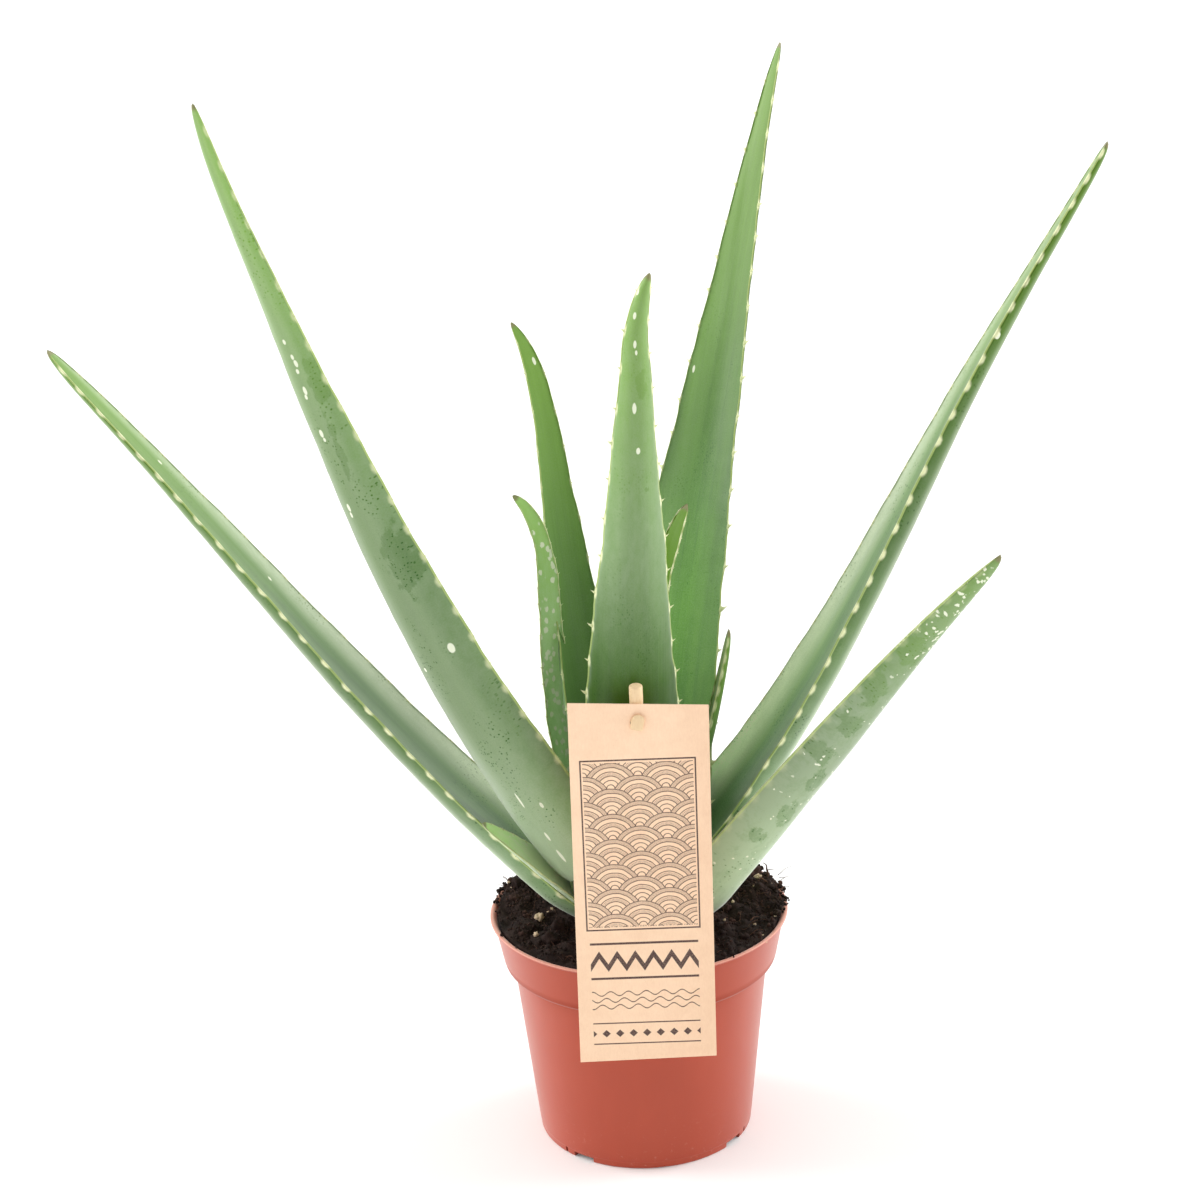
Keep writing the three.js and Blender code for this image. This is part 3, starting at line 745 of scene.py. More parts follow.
def new_piece(name, mesh, material, replaced):
    """Puts a piece in the scene, on the root body, in place of CAD nodes."""
    face_outwards(mesh)
    mesh.materials.append(material)
    piece = bpy.data.objects.new(name, mesh)
    bpy.context.scene.collection.objects.link(piece)
    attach(piece, "root")
    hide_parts(*replaced)
    return piece


# ------------------------------------------------------------------- stage


def floor_paint(settings):
    recipe = Recipe.material("floor_paint")
    grain = recipe.noise(recipe.place(), 0.02, 3)
    return recipe.surface({
        "Base Color": recipe.mix(grain, settings.floor, shaded(settings.floor, 0.99)),
        "Roughness": 0.9,
        "Emission Color": settings.glow,
        "Emission Strength": 0.05,
    })


def tent_world():
    """A bright tent all round: strongest behind and at the sides, weakest in front."""
    recipe = Recipe(bpy.data.worlds.new("tent"))
    direction = recipe.field("TexCoord", {}, {}, "Generated")
    across, back, up = recipe.parts(direction)
    walls = 0.9 * abs(across).smooth(0.5, 0.95)
    walls = walls + 0.85 * back.smooth(0.2, 0.9) - 0.1 * back.smooth(0, -0.9)
    strength = 0.7 + up.smooth(0.95, 0.15) * walls
    light = recipe.field("Background", {}, {"Color": (1, 1, 1), "Strength": strength})
    recipe.node("OutputWorld", {}, {"Surface": light})
    return recipe.holder


def add_sun(name, toward, colour, strength):
    light = bpy.data.lights.new(name, "SUN")
    light.energy = strength
    light.angle = math.radians(LIGHT_SPREAD)
    light.color = colour
    holder = bpy.data.objects.new(name, light)
    holder.rotation_euler = Vector(toward).to_track_quat("-Z", "Y").to_euler()
    bpy.context.scene.collection.objects.link(holder)


class AloeStage(bpy.types.Operator):
    """Make the camera, the lights and the floor"""

    bl_idname = "aloe.stage"
    bl_label = "Stage"

    def execute(self, context):
        settings = context.scene.aloe_stage
        self.aim_camera(context.scene, settings.lens)
        self.lay_floor(context.scene, settings)
        context.scene.world = tent_world()
        add_sun("left_light", *LEFT_LIGHT, settings.left_light)
        add_sun("right_light", *RIGHT_LIGHT, settings.right_light)
        context.scene.view_settings.view_transform = "Standard"
        return {"FINISHED"}

    @staticmethod
    def aim_camera(scene, lens):
        data = bpy.data.cameras.new("camera")
        data.lens = lens
        data.sensor_width = SENSOR_WIDTH
        data.clip_end = VIEW_END
        camera = bpy.data.objects.new("camera", data)
        place = Matrix.Translation(Vector(CAMERA_PLACE) * MM)
        for degrees, axis in ((CAMERA_LEFT, "Z"), (90 - CAMERA_DOWN, "X"), (CAMERA_ROLL, "Z")):
            place = place @ Matrix.Rotation(math.radians(degrees), 4, axis)
        camera.matrix_world = place
        scene.collection.objects.link(camera)
        scene.camera = camera

    @staticmethod
    def lay_floor(scene, settings):
        disc = bmesh.new()
        bmesh.ops.create_circle(disc, cap_ends=True, segments=96, radius=settings.floor_radius)
        mesh = bpy.data.meshes.new("floor")
        disc.to_mesh(mesh)
        disc.free()
        mesh.materials.append(floor_paint(settings))
        floor = bpy.data.objects.new("floor", mesh)
        scene.collection.objects.link(floor)


# --------------------------------------------------------------------- pot


def pot_plastic(settings):
    recipe = Recipe.material("pot_plastic")
    place = recipe.place()
    _, _, height = recipe.parts(place)
    cloud = recipe.noise(place, 0.035, 3)
    speck = recipe.noise(place, 1.4, 2)
    flow = recipe.noise(place, (0.12, 0.12, 0.02), 3)
    plastic = settings.plastic
    deeper = (0.3 + 0.8 * (cloud - 0.5) + 0.5 * (flow - 0.5)).clamped()
    colour = recipe.mix(deeper, plastic, shaded(plastic, 0.84))
    # Painted highlight: the lip's top is painted lighter, broken up by specks.
    worn = height.smooth(*LIP_HIGHLIGHT) * (0.55 + 0.6 * speck)
    colour = recipe.mix(worn.clamped(), colour, settings.worn)
    # Painted shade: the plastic is painted darker just under the rim band, and made rougher there.
    painted_rim_shade = height.smooth(*FOLD_FROM) * height.smooth(*FOLD_TO)
    colour = recipe.mix(painted_rim_shade * 0.35, colour, shaded(plastic, 0.5))
    dust = (recipe.noise(place, 0.5, 4, 0.7).smooth(0.58, 0.75) * height.smooth(30, 2)).clamped()
    colour = recipe.mix(dust * 0.35, colour, settings.dust)
    grain = recipe.noise(place, 3.2, 2)
    return recipe.surface({
        "Base Color": colour,
        "Roughness": 0.38 + 0.1 * cloud + 0.25 * dust + 0.5 * painted_rim_shade,
        "Normal": recipe.bump(grain, 0.03),
        "Sheen Weight": 0.35,
        "Sheen Roughness": 0.38,
        "Specular IOR Level": 0.35,
    })


def drain_cutters():
    """Boxes and a low arch that are cut out of the pot's foot."""
    shape = Shape()
    corners = np.array([(x, y, z) for x in (0, 1) for y in (-0.5, 0.5) for z in (-1, 1)], float)
    faces = [(0, 1, 3, 2), (4, 6, 7, 5), (0, 4, 5, 1), (2, 3, 7, 6), (0, 2, 6, 4), (1, 5, 7, 3)]

    def add_box(angle, width, height):
        box = corners * (DRAIN_REACH, width, height) + (DRAIN_START, 0, 0)
        turn = np.array(Matrix.Rotation(math.radians(angle), 3, "Z"))
        shape.add(box @ turn.T, faces)

    for number, angle in enumerate(DRAIN_ANGLES):
        add_box(angle, *DRAIN_SIZE)
        side = 1 if number % 2 else -1
        add_box(angle + side * SLIT_OFFSET, *SLIT_SIZE)
    turn = np.radians([ARCH_ANGLE] * 2)
    ends = around(np.array(ARCH_ENDS), ARCH_HEIGHT - ARCH_RADIUS, turn)
    tube(shape, ends, (ARCH_RADIUS, ARCH_RADIUS), 240)
    return shape.mesh("drain_cutters")


def applied(piece):
    """The piece's mesh with its modifiers worked in."""
    graph = bpy.context.evaluated_depsgraph_get()
    mesh = bpy.data.meshes.new_from_object(piece.evaluated_get(graph))
    piece.modifiers.clear()
    return mesh


class AloePot(bpy.types.Operator):
    """Make the pot, with its rim band, lip, foot ring and drain notches"""

    bl_idname = "aloe.pot"
    bl_label = "Pot"

    def execute(self, context):
        settings = context.scene.aloe_pot
        shape = Shape()
        turned(shape, softened(POT_PROFILE, settings.rounding / MM), settings.segments)
        piece = new_piece("pot_moulding", shape.mesh("pot_moulding"),
                          pot_plastic(settings), ["pot"])
        self.cut_drains(context, piece)
        return {"FINISHED"}

    @staticmethod
    def cut_drains(context, piece):
        cutters = bpy.data.objects.new("drain_cutters", drain_cutters())
        face_outwards(cutters.data)
        context.scene.collection.objects.link(cutters)
        cut = piece.modifiers.new("drains", "BOOLEAN")
        cut.operation = "DIFFERENCE"
        cut.object = cutters
        piece.data = applied(piece)
        piece.data.set_sharp_from_angle(angle=math.radians(POT_SHARP))
        bpy.data.objects.remove(cutters)


# -------------------------------------------------------------------- soil


def soil_height(x, y):
    """Height of the soil's surface, without its crumbs."""
    heaps = sum(
        rise * np.exp(-((x - heap_x) ** 2 + (y - heap_y) ** 2) / spread**2)
        for heap_x, heap_y, rise, spread in HEAPS
    )
    ripple = 0.6 * np.sin(0.37 * x + 1) * np.cos(0.33 * y + 0.4)
    return SOIL_LEVEL + ripple + heaps


def relief(x, y):
    """How far the loose surface stands above or below the soil's height at one place."""
    height = 0
    for size, depth, layer in CLOD_LAYERS:
        near, second = noise.voronoi((x / size, y / size, layer))[0][:2]
        height += depth * (min(1, 2.6 * (second - near)) - 0.7)
    return height + 1.1 * noise.fractal((x / 8, y / 8, 1.7), 0.75, 2.1, 6)


def crumbly(x, y):
    """The relief at each of a list of places."""
    return np.array([relief(a, b) for a, b in zip(x, y)])


def soil_matter(name, settings):
    """Peat that runs from near black to brown. Shade is the crumb's own lightness."""
    recipe = Recipe.material(name)
    place = recipe.place()
    shade = recipe.attribute("shade")
    cloud = recipe.noise(place, 0.11, 4, 0.65)
    fine = recipe.noise(place, 1.6, 4, 0.7)
    lit = (1.8 * (cloud - 0.35) + 0.5 * (fine - 0.5)).clamped()
    mixed = recipe.mix(lit, shaded(settings.peat, 0.3), settings.peat)
    dry = (shade + 0.9 * (cloud - 0.5)).smooth(0.62, 1.0)
    mixed = recipe.mix(dry * 0.6, mixed, settings.brown)
    mixed = recipe.mix(fine.smooth(0.6, 0.74) * 0.3, mixed, settings.fibre)
    return recipe.surface({
        "Base Color": mixed,
        "Roughness": 0.85 + 0.15 * fine,
        "Normal": recipe.bump(fine, 0.4),
        "Specular IOR Level": 0.22,
    })


def plain_matter(name, colour, light, rough):
    """A mottled matt material for fibres and grains."""
    recipe = Recipe.material(name)
    place = recipe.place()
    cloud = recipe.noise(place, 0.6, 4, 0.65)
    fine = recipe.noise(place, 2.4, 3, 0.7)
    mixed = recipe.mix((0.3 + 1.6 * (cloud - 0.5)).clamped(), colour, shaded(colour, 0.45))
    mixed = recipe.mix(fine.smooth(0.52, 0.7) * 0.7, mixed, light)
    normal = recipe.bump(fine, 0.25)
    return recipe.surface({"Base Color": mixed, "Roughness": rough, "Normal": normal})


def random_turns(count, dice):
    """Random rotation matrices, one per row."""
    quats = dice.normal(size=(count, 4))
    quats /= np.linalg.norm(quats, axis=1)[:, None]
    w, x, y, z = quats.T
    return np.stack([
        np.stack([1 - 2 * (y * y + z * z), 2 * (x * y - z * w), 2 * (x * z + y * w)], -1),
        np.stack([2 * (x * y + z * w), 1 - 2 * (x * x + z * z), 2 * (y * z - x * w)], -1),
        np.stack([2 * (x * z - y * w), 2 * (y * z + x * w), 1 - 2 * (x * x + y * y)], -1),
    ], 1)


def lump_form(number, detail):
    """Points and faces of one knobbly lump of unit size."""
    ball = bmesh.new()
    bmesh.ops.create_icosphere(ball, subdivisions=detail, radius=1)
    ball.verts.ensure_lookup_table()
    points = []
    for vertex in ball.verts:
        place = vertex.co + Vector((number * 7.3, 0, 0))
        knob = noise.noise(place * 1.5) + 0.45 * noise.noise(place * 4)
        points.append(tuple(vertex.co * (1 + 0.6 * knob)))
    faces = [tuple(v.index for v in face.verts) for face in ball.faces]
    ball.free()
    return np.array(points), faces


def scatter_lumps(shape, places, sizes, dice, detail):
    """Adds one randomly turned, squeezed lump of the given size at each place."""
    forms = [lump_form(number, detail) for number in range(LUMP_FORMS)]
    turns = random_turns(len(places), dice)
    squeeze = dice.uniform(0.65, 1.15, size=(len(places), 3))
    shades = dice.uniform(0, 1, len(places))
    for number, (place, size) in enumerate(zip(places, sizes)):
        points, faces = forms[number % len(forms)]
        lump = (points * squeeze[number] * size) @ turns[number].T + place
        shape.add(lump, faces, shade=shades[number])


def crumb_places(count, dice):
    """Places on the soil for loose crumbs, closer together on the two heaps."""
    angle = dice.uniform(0, 2 * math.pi, count)
    radius = CRUMB_CIRCLE * np.sqrt(dice.uniform(0, 1, count))
    x, y = radius * np.cos(angle), radius * np.sin(angle)
    on_heap = dice.uniform(0, 1, count) < 0.3
    which = dice.integers(0, 2, count)
    for number, (heap_x, heap_y, _, spread) in enumerate(HEAPS[:2]):
        chosen = on_heap & (which == number)
        x[chosen] = heap_x + dice.normal(0, spread * 0.45, chosen.sum())
        y[chosen] = heap_y + dice.normal(0, spread * 0.6, chosen.sum())
    over = np.maximum(np.hypot(x, y) / CRUMB_CIRCLE, 1)
    return x / over, y / over


class AloeSoil(bpy.types.Operator):
    """Make the peat bed with its crumbs, fibres and perlite grains"""

    bl_idname = "aloe.soil"
    bl_label = "Soil"

    def execute(self, context):
        settings = context.scene.aloe_soil
        dice = np.random.default_rng(SEED)
        peat = soil_matter("peat", settings)
        strand = plain_matter("peat_fibre", settings.fibre, settings.pale_fibre, 0.9)
        stone = plain_matter("perlite", settings.grain, settings.pale_grain, 0.8)
        crumbs = self.crumb_mesh((settings.crumbs, settings.clods), dice)
        fibres = self.fibre_mesh(settings.fibres, dice)
        grains = self.grain_mesh(dice)
        new_piece("soil_bed", self.bed_mesh(), peat, ["soil"])
        new_piece("soil_crumbs", crumbs, peat, [])
        new_piece("soil_fibres", fibres, strand, [])
        new_piece("soil_grains", grains, stone, [])
        return {"FINISHED"}

    @staticmethod
    def bed_mesh():
        segments, rings = SOIL_STEPS
        angles = angles_round(segments)
        points = [around(radius, height, angles) for radius, height in SOIL_WALL]
        for radius in np.linspace(SOIL_RADIUS, SOIL_MIDDLE, rings):
            x, y = radius * np.cos(angles), radius * np.sin(angles)
            loose = 0.3 + 0.7 * smooth(SOIL_RADIUS, SOIL_CALM, radius)
            points.append(around(radius, soil_height(x, y) + crumbly(x, y) * loose, angles))
        faces = point_ended(len(points), segments)
        points.append([(0, 0, SOIL_WALL[0][1]), (0, 0, float(soil_height(0, 0)))])
        shape = Shape("shade")
        shape.add(np.concatenate(points), faces, shade=0.3)
        return shape.mesh("soil_bed")

    @staticmethod
    def crumb_mesh(counts, dice):
        """Loose crumbs and clods, and the ones that lie against and over the lip."""
        shape = Shape("shade")
        for number, (detail, usual, largest) in zip(counts, CRUMB_KINDS):
            x, y = crumb_places(number, dice)
            sizes = dice.lognormal(math.log(usual), 0.42, number)
            sizes = np.clip(sizes, LEAST_CRUMB, largest)
            inward = np.minimum(1, (SOIL_LIMIT - sizes) / np.maximum(np.hypot(x, y), 1))
            x, y = x * inward, y * inward
            z = soil_height(x, y) + crumbly(x, y) + sizes * dice.uniform(-0.5, 0.4, number)
            scatter_lumps(shape, np.stack([x, y, z], 1), sizes, dice, detail)
        for angle, spread, number, reach in LIP_CRUMBS:
            turn = np.radians(dice.normal(angle, spread, number))
            radius = dice.uniform(LIP_INNER, reach, number)
            sizes = dice.uniform(*LIP_SIZES, number)
            piled = np.where(radius < 58, 1.2, 0) * dice.uniform(0, 1.5, number)
            height = LIP_TOP + 0.75 * sizes + piled
            scatter_lumps(shape, around(radius, height, turn), sizes, dice, 2)
        return shape.mesh("soil_crumbs")

    @staticmethod
    def fibre_mesh(count, dice):
        x, y = crumb_places(count, dice)
        shape = Shape()
        for a, b in zip(x, y):
            length = dice.uniform(*FIBRE_LENGTHS)
            heading = dice.uniform(0, 2 * math.pi)
            bend = dice.normal(0, FIBRE_BEND)
            rise = dice.normal(0, FIBRE_RISE)
            steps = np.linspace(-0.5, 0.5, 8)
            turn = heading + bend * steps
            line = np.stack([
                a + length * steps * np.cos(turn),
                b + length * steps * np.sin(turn),
                soil_height(a, b) + relief(a, b) + 0.3 + length * rise * steps
                + 0.7 * np.sin(7 * steps + heading),
            ], 1)
            over = np.hypot(line[:, 0], line[:, 1]) / SOIL_LIMIT
            line[:, :2] /= np.maximum(over, 1)[:, None]
            thickness = dice.uniform(*FIBRE_RADII)
            tube(shape, line, thickness * (1 - 1.2 * steps**2), 5)
        for start, stop, bow, thickness in LONG_FIBRES:
            steps = np.linspace(0, 1, 12)[:, None]
            line = np.array(start) + (np.array(stop) - np.array(start)) * steps
            line = line + np.array(bow) * 4 * steps * (1 - steps)
            line[:, 0] += 0.25 * np.sin(9 * steps[:, 0] + bow[0])
            tube(shape, line, thickness * (1.05 - 0.7 * steps[:, 0]), 6)
        return shape.mesh("soil_fibres")

    @staticmethod
    def grain_mesh(dice):
        x, y = crumb_places(STRAY_GRAINS, dice)
        seen_x, seen_y, seen_sizes = zip(*PERLITE)
        sizes = np.concatenate([seen_sizes, dice.uniform(*GRAIN_SIZES, STRAY_GRAINS)])
        x, y = np.concatenate([seen_x, x]), np.concatenate([seen_y, y])
        places = np.stack([x, y, soil_height(x, y) + crumbly(x, y) + 0.5 * sizes], 1)
        shape = Shape()
        scatter_lumps(shape, places, sizes, dice, 3)
        return shape.mesh("soil_grains")


# ------------------------------------------------------------------ leaves


def last_third(s):
    return np.clip((s - LAST_THIRD) / (1 - LAST_THIRD), 0, 1) ** 2


def last_tenth(s):
    return np.clip((s - LAST_TENTH) / (1 - LAST_TENTH), 0, 1)


class LeafForm:
    """The line, the frame and the faces of a leaf at places s from 0 to 1."""

    STEPS = 400

    def __init__(self, leaf):
        self.leaf = leaf
        self.fine = np.linspace(0, 1, self.STEPS + 1)
        low, middle, tip = leaf.lean
        s = self.fine
        lean = low * (1 - s) * (1 - 2 * s) + 4 * middle * s * (1 - s) + tip * s * (2 * s - 1)
        lean = lean + leaf.hook * last_third(s)
        lean = FOOT_LEAN + (lean - FOOT_LEAN) * smooth(0, leaf.foot / leaf.length, s)
        lean = np.radians(lean)[:, None]
        bow = leaf.side * s**2 + leaf.curl * last_third(s) + leaf.flick * last_tenth(s)
        bow = np.radians(bow)[:, None]
        azimuth = math.radians(leaf.azimuth)
        out = np.array((math.cos(azimuth), math.sin(azimuth), 0))
        self.across = np.array((-math.sin(azimuth), math.cos(azimuth), 0))
        upward = np.array((0, 0, 1.0))
        flat = np.sin(lean) * out + np.cos(lean) * upward
        self.along = flat * np.cos(bow) + self.across * np.sin(bow)
        steps = (self.along[1:] + self.along[:-1]) / 2 * (leaf.length / self.STEPS)
        start = out * leaf.out + self.across * leaf.across + upward * leaf.up
        self.line = start + np.concatenate([np.zeros((1, 3)), np.cumsum(steps, 0)])

    def sample(self, table, s):
        return np.stack([np.interp(s, self.fine, table[:, k]) for k in range(3)], -1)

    def frame(self, s):
        """Centre, direction, width direction and upper face's normal."""
        centre = self.sample(self.line, s)
        along = unit(self.sample(self.along, s))
        width = unit(self.across - along * (along @ self.across)[..., None])
        upward = np.cross(along, width)
        low, high = self.leaf.roll
        roll = np.radians(low + (high - low) * s)[..., None]
        turned_width = width * np.cos(roll) + upward * np.sin(roll)
        turned_up = upward * np.cos(roll) - width * np.sin(roll)
        return centre, along, turned_width, turned_up

    def opened(self, s):
        """How far the leaf has opened from its foot: 0 there, and 1 in the blade."""
        return smooth(0, FOOT_FADE * self.leaf.foot / self.leaf.length, s)

    def half(self, s):
        """Half the leaf's width."""
        leaf = self.leaf
        blade = leaf.half * (1 - s**WIDTH_POWER) ** leaf.taper
        foot = FOOT_WIDTH + (1 - FOOT_WIDTH) * self.opened(s)
        left = (1 - s) * leaf.length
        return blade * foot + leaf.blunt * np.sqrt(left / BLUNT_START) * np.exp(-left / BLUNT_FADE)

    def depths(self, s):
        """Depth of the upper face's channel, and thickness of the leaf."""
        leaf = self.leaf
        half = self.half(s)
        channel = leaf.channel * half * self.opened(s) * smooth(0, CHANNEL_END, 1 - s)
        return channel, leaf.thick * (half / leaf.half) ** THICKNESS_POWER


UPPER, LOWER, EDGE = 0, 1, 2  # the faces of a leaf
UNDER = {UPPER: 0.0, LOWER: 1.0, EDGE: 0.5}  # how far each belongs to the underside
EXTRAS = ("along", "across", "reach", "under", "margin", "mark", "tooth")  # kept per point


class LeafBuilder:
    """Makes the mesh of one leaf, with its margins and teeth."""

    def __init__(self, name, leaf, row_step, tooth_height):
        self.name = name
        self.leaf = leaf
        self.form = LeafForm(leaf)
        self.dice = np.random.default_rng(SEED + sum(map(ord, name)))
        self.tooth_height = tooth_height
        self.phases = self.dice.uniform(0, 2 * math.pi, (2, 4))
        rows = max(LEAST_ROWS, int(leaf.length / row_step))
        self.s = BLADE_END * np.linspace(0, 1, rows) ** ROW_POWER
        self.teeth = {side: self.tooth_places(side) for side in (-1, 1)}
        self.shape = Shape(*EXTRAS)

    def tooth_places(self, side):
        """Distances from the foot at which one margin's teeth stand."""
        leaf = self.leaf
        place = leaf.first[0 if side < 0 else 1]
        start, share = CROWDING
        places = []
        while place < leaf.length * LAST_TOOTH:
            places.append(place)
            apart = 1 - share * max(0.0, place / leaf.length - start)
            place += leaf.teeth * apart * self.dice.uniform(0.9, 1.1)
        return np.array(places)

    def waver(self, side, along):
        """How far a margin strays from its smooth line."""
        phases = self.phases[0 if side < 0 else 1]
        length, height = SWELL
        drift = sum(size * np.sin(2 * math.pi * along / period + phase)
                    for phase, (period, size) in zip(phases, WAVER))
        swell = sum(np.exp(-((along - place) / length) ** 2) for place in self.teeth[side])
        scale = self.form.half(along / self.leaf.length) / self.leaf.half
        return (drift + height * self.leaf.tooth * swell) * np.minimum(1, 2 * scale)

    def mark(self, side, along, from_edge):
        """How strongly a point lies in the pale patch round a tooth's root."""
        length, width = MARK
        near = np.exp(-((along - self.teeth[side][:, None]) / length) ** 2).max(0)
        return near * np.exp(-((from_edge / width) ** 2))

    def ripple(self, along, across, face):
        """Gentle unevenness of a face."""
        seed = self.phases[0, 0] * 10 + 31 * face
        return RIPPLE_SIZE * self.leaf.half * sum(
            share * noise.noise((across / wide, along / long, seed + more))
            for share, wide, long, more in RIPPLES
        )

    def build(self):
        self.add_blade()
        for side in (-1, 1):
            for place in self.teeth[side]:
                self.add_tooth(side, place)
        return self.shape.mesh(self.name)

    def section(self):
        """Reach across and face of each point round the leaf, and a margin's steps."""
        angles = np.linspace(-math.pi / 2, math.pi / 2, FACE_POINTS + 2)[1:-1]
        reach = np.sin(angles)
        points = [(u, UPPER, 0, 0) for u in reach]
        points += [(1, EDGE, rise, out) for rise, out in BEAD_POINTS]
        points += [(u, LOWER, 0, 0) for u in reach[::-1]]
        points += [(-1, EDGE, rise, out) for rise, out in BEAD_POINTS[::-1]]
        return points

    def face_height(self, along, across, inside, face):
        """Height of a face's points; inside is 1 in its middle and 0 at its edges."""
        s = along / self.leaf.length
        channel, thickness = self.form.depths(s)
        if face == UPPER:
            height = -channel * inside
        else:
            height = -(channel + thickness) * inside**0.7
        bumps = np.array([self.ripple(a, c, face) for a, c in zip(along, across)])
        return height + bumps * inside**0.5 * np.minimum(1, self.form.half(s) / 4)

    def add_blade(self):
        along = self.s * self.leaf.length
        centre, direction, width, upward = self.form.frame(self.s)
        half = self.form.half(self.s)
        halves = {side: half + self.waver(side, along) for side in (-1, 1)}
        bead = BEAD * np.minimum(1, half / 3)
        rows = []
        extras = {key: [] for key in EXTRAS}
        for reach, face, rise, out in self.section():
            side = 1 if reach > 0 else -1
            across = reach * halves[side] + side * out * bead
            if face == EDGE:
                height = rise * bead
            else:
                height = self.face_height(along, across, 1 - reach * reach, face)
            rows.append(centre + width * across[:, None] + upward * height[:, None])
            mark = self.mark(side, along, (1 - abs(reach)) * halves[side])
            values = (along, across, reach, UNDER[face], face == EDGE, mark, 0)
            for key, value in zip(EXTRAS, values):
                extras[key].append(np.broadcast_to(value, len(along)))
        foot = centre[0] - upward[0] * self.form.depths(self.s)[1][0] / 2
        tip = centre[-1] + direction[-1] * max(LEAST_TIP, half[-1])
        points = np.concatenate([np.stack(rows, 1).reshape(-1, 3), [foot, tip]])
        at_tip = {"along": self.leaf.length, "under": UNDER[EDGE]}
        packed = {
            key: np.append(np.stack(kept, 1), [0, at_tip.get(key, 0)])
            for key, kept in extras.items()
        }
        self.shape.add(points, point_ended(len(along), len(rows)), **packed)

    def add_tooth(self, side, place):
        """A hooked thorn on a margin, broad at its root and bent to the tip."""
        leaf, form = self.leaf, self.form
        s = np.array([place / leaf.length])
        centre, direction, width, upward = (item[0] for item in form.frame(s))
        half = form.half(s)[0] + self.waver(side, np.array([place]))[0]
        size = leaf.tooth * self.dice.uniform(*TOOTH_SIZES) * (1 - 0.4 * s[0])
        size *= float(smooth(0, 4, half) * smooth(0, 60, place + 15))
        height = self.tooth_height * size
        if height < LEAST_TOOTH:
            return
        outward = width * side
        root = centre + outward * (half - TOOTH_ROOT) + upward * 0.05
        half_length, half_thick = TOOTH_BASE
        rings, sides = 7, 10
        angles = angles_round(sides)
        points, grown = [], []
        for step in np.linspace(0, 1, rings):
            slim = (1 - step) ** 1.25 + 0.03
            middle = root + outward * (height + TOOTH_ROOT) * step
            middle = middle + direction * height * (0.75 * step**1.8 - 0.1)
            long = half_length * size * slim
            thin = half_thick * size * (0.25 + 0.75 * (1 - step)) * min(1, slim + 0.2)
            ring = middle + direction * (np.cos(angles) * long)[:, None]
            points.append(ring + upward * (np.sin(angles) * thin)[:, None])
            grown += [0.15 + 0.85 * step] * sides
        self.shape.add(
            np.concatenate(points), flat_ended(rings, sides),
            along=place, across=side * half, reach=side,
            under=UNDER[EDGE], margin=1, mark=0.6, tooth=grown,
        )


def ovals(along, across, ragged, places):
    """1 within each of the listed ovals, which have uneven outlines."""
    inside = along * 0
    for middle, offset, length, width in places:
        far = ((along - middle) / length) ** 2 + ((across - offset) / width) ** 2 + ragged
        inside = inside.either(far.smooth(1.0, 0.55))
    return inside


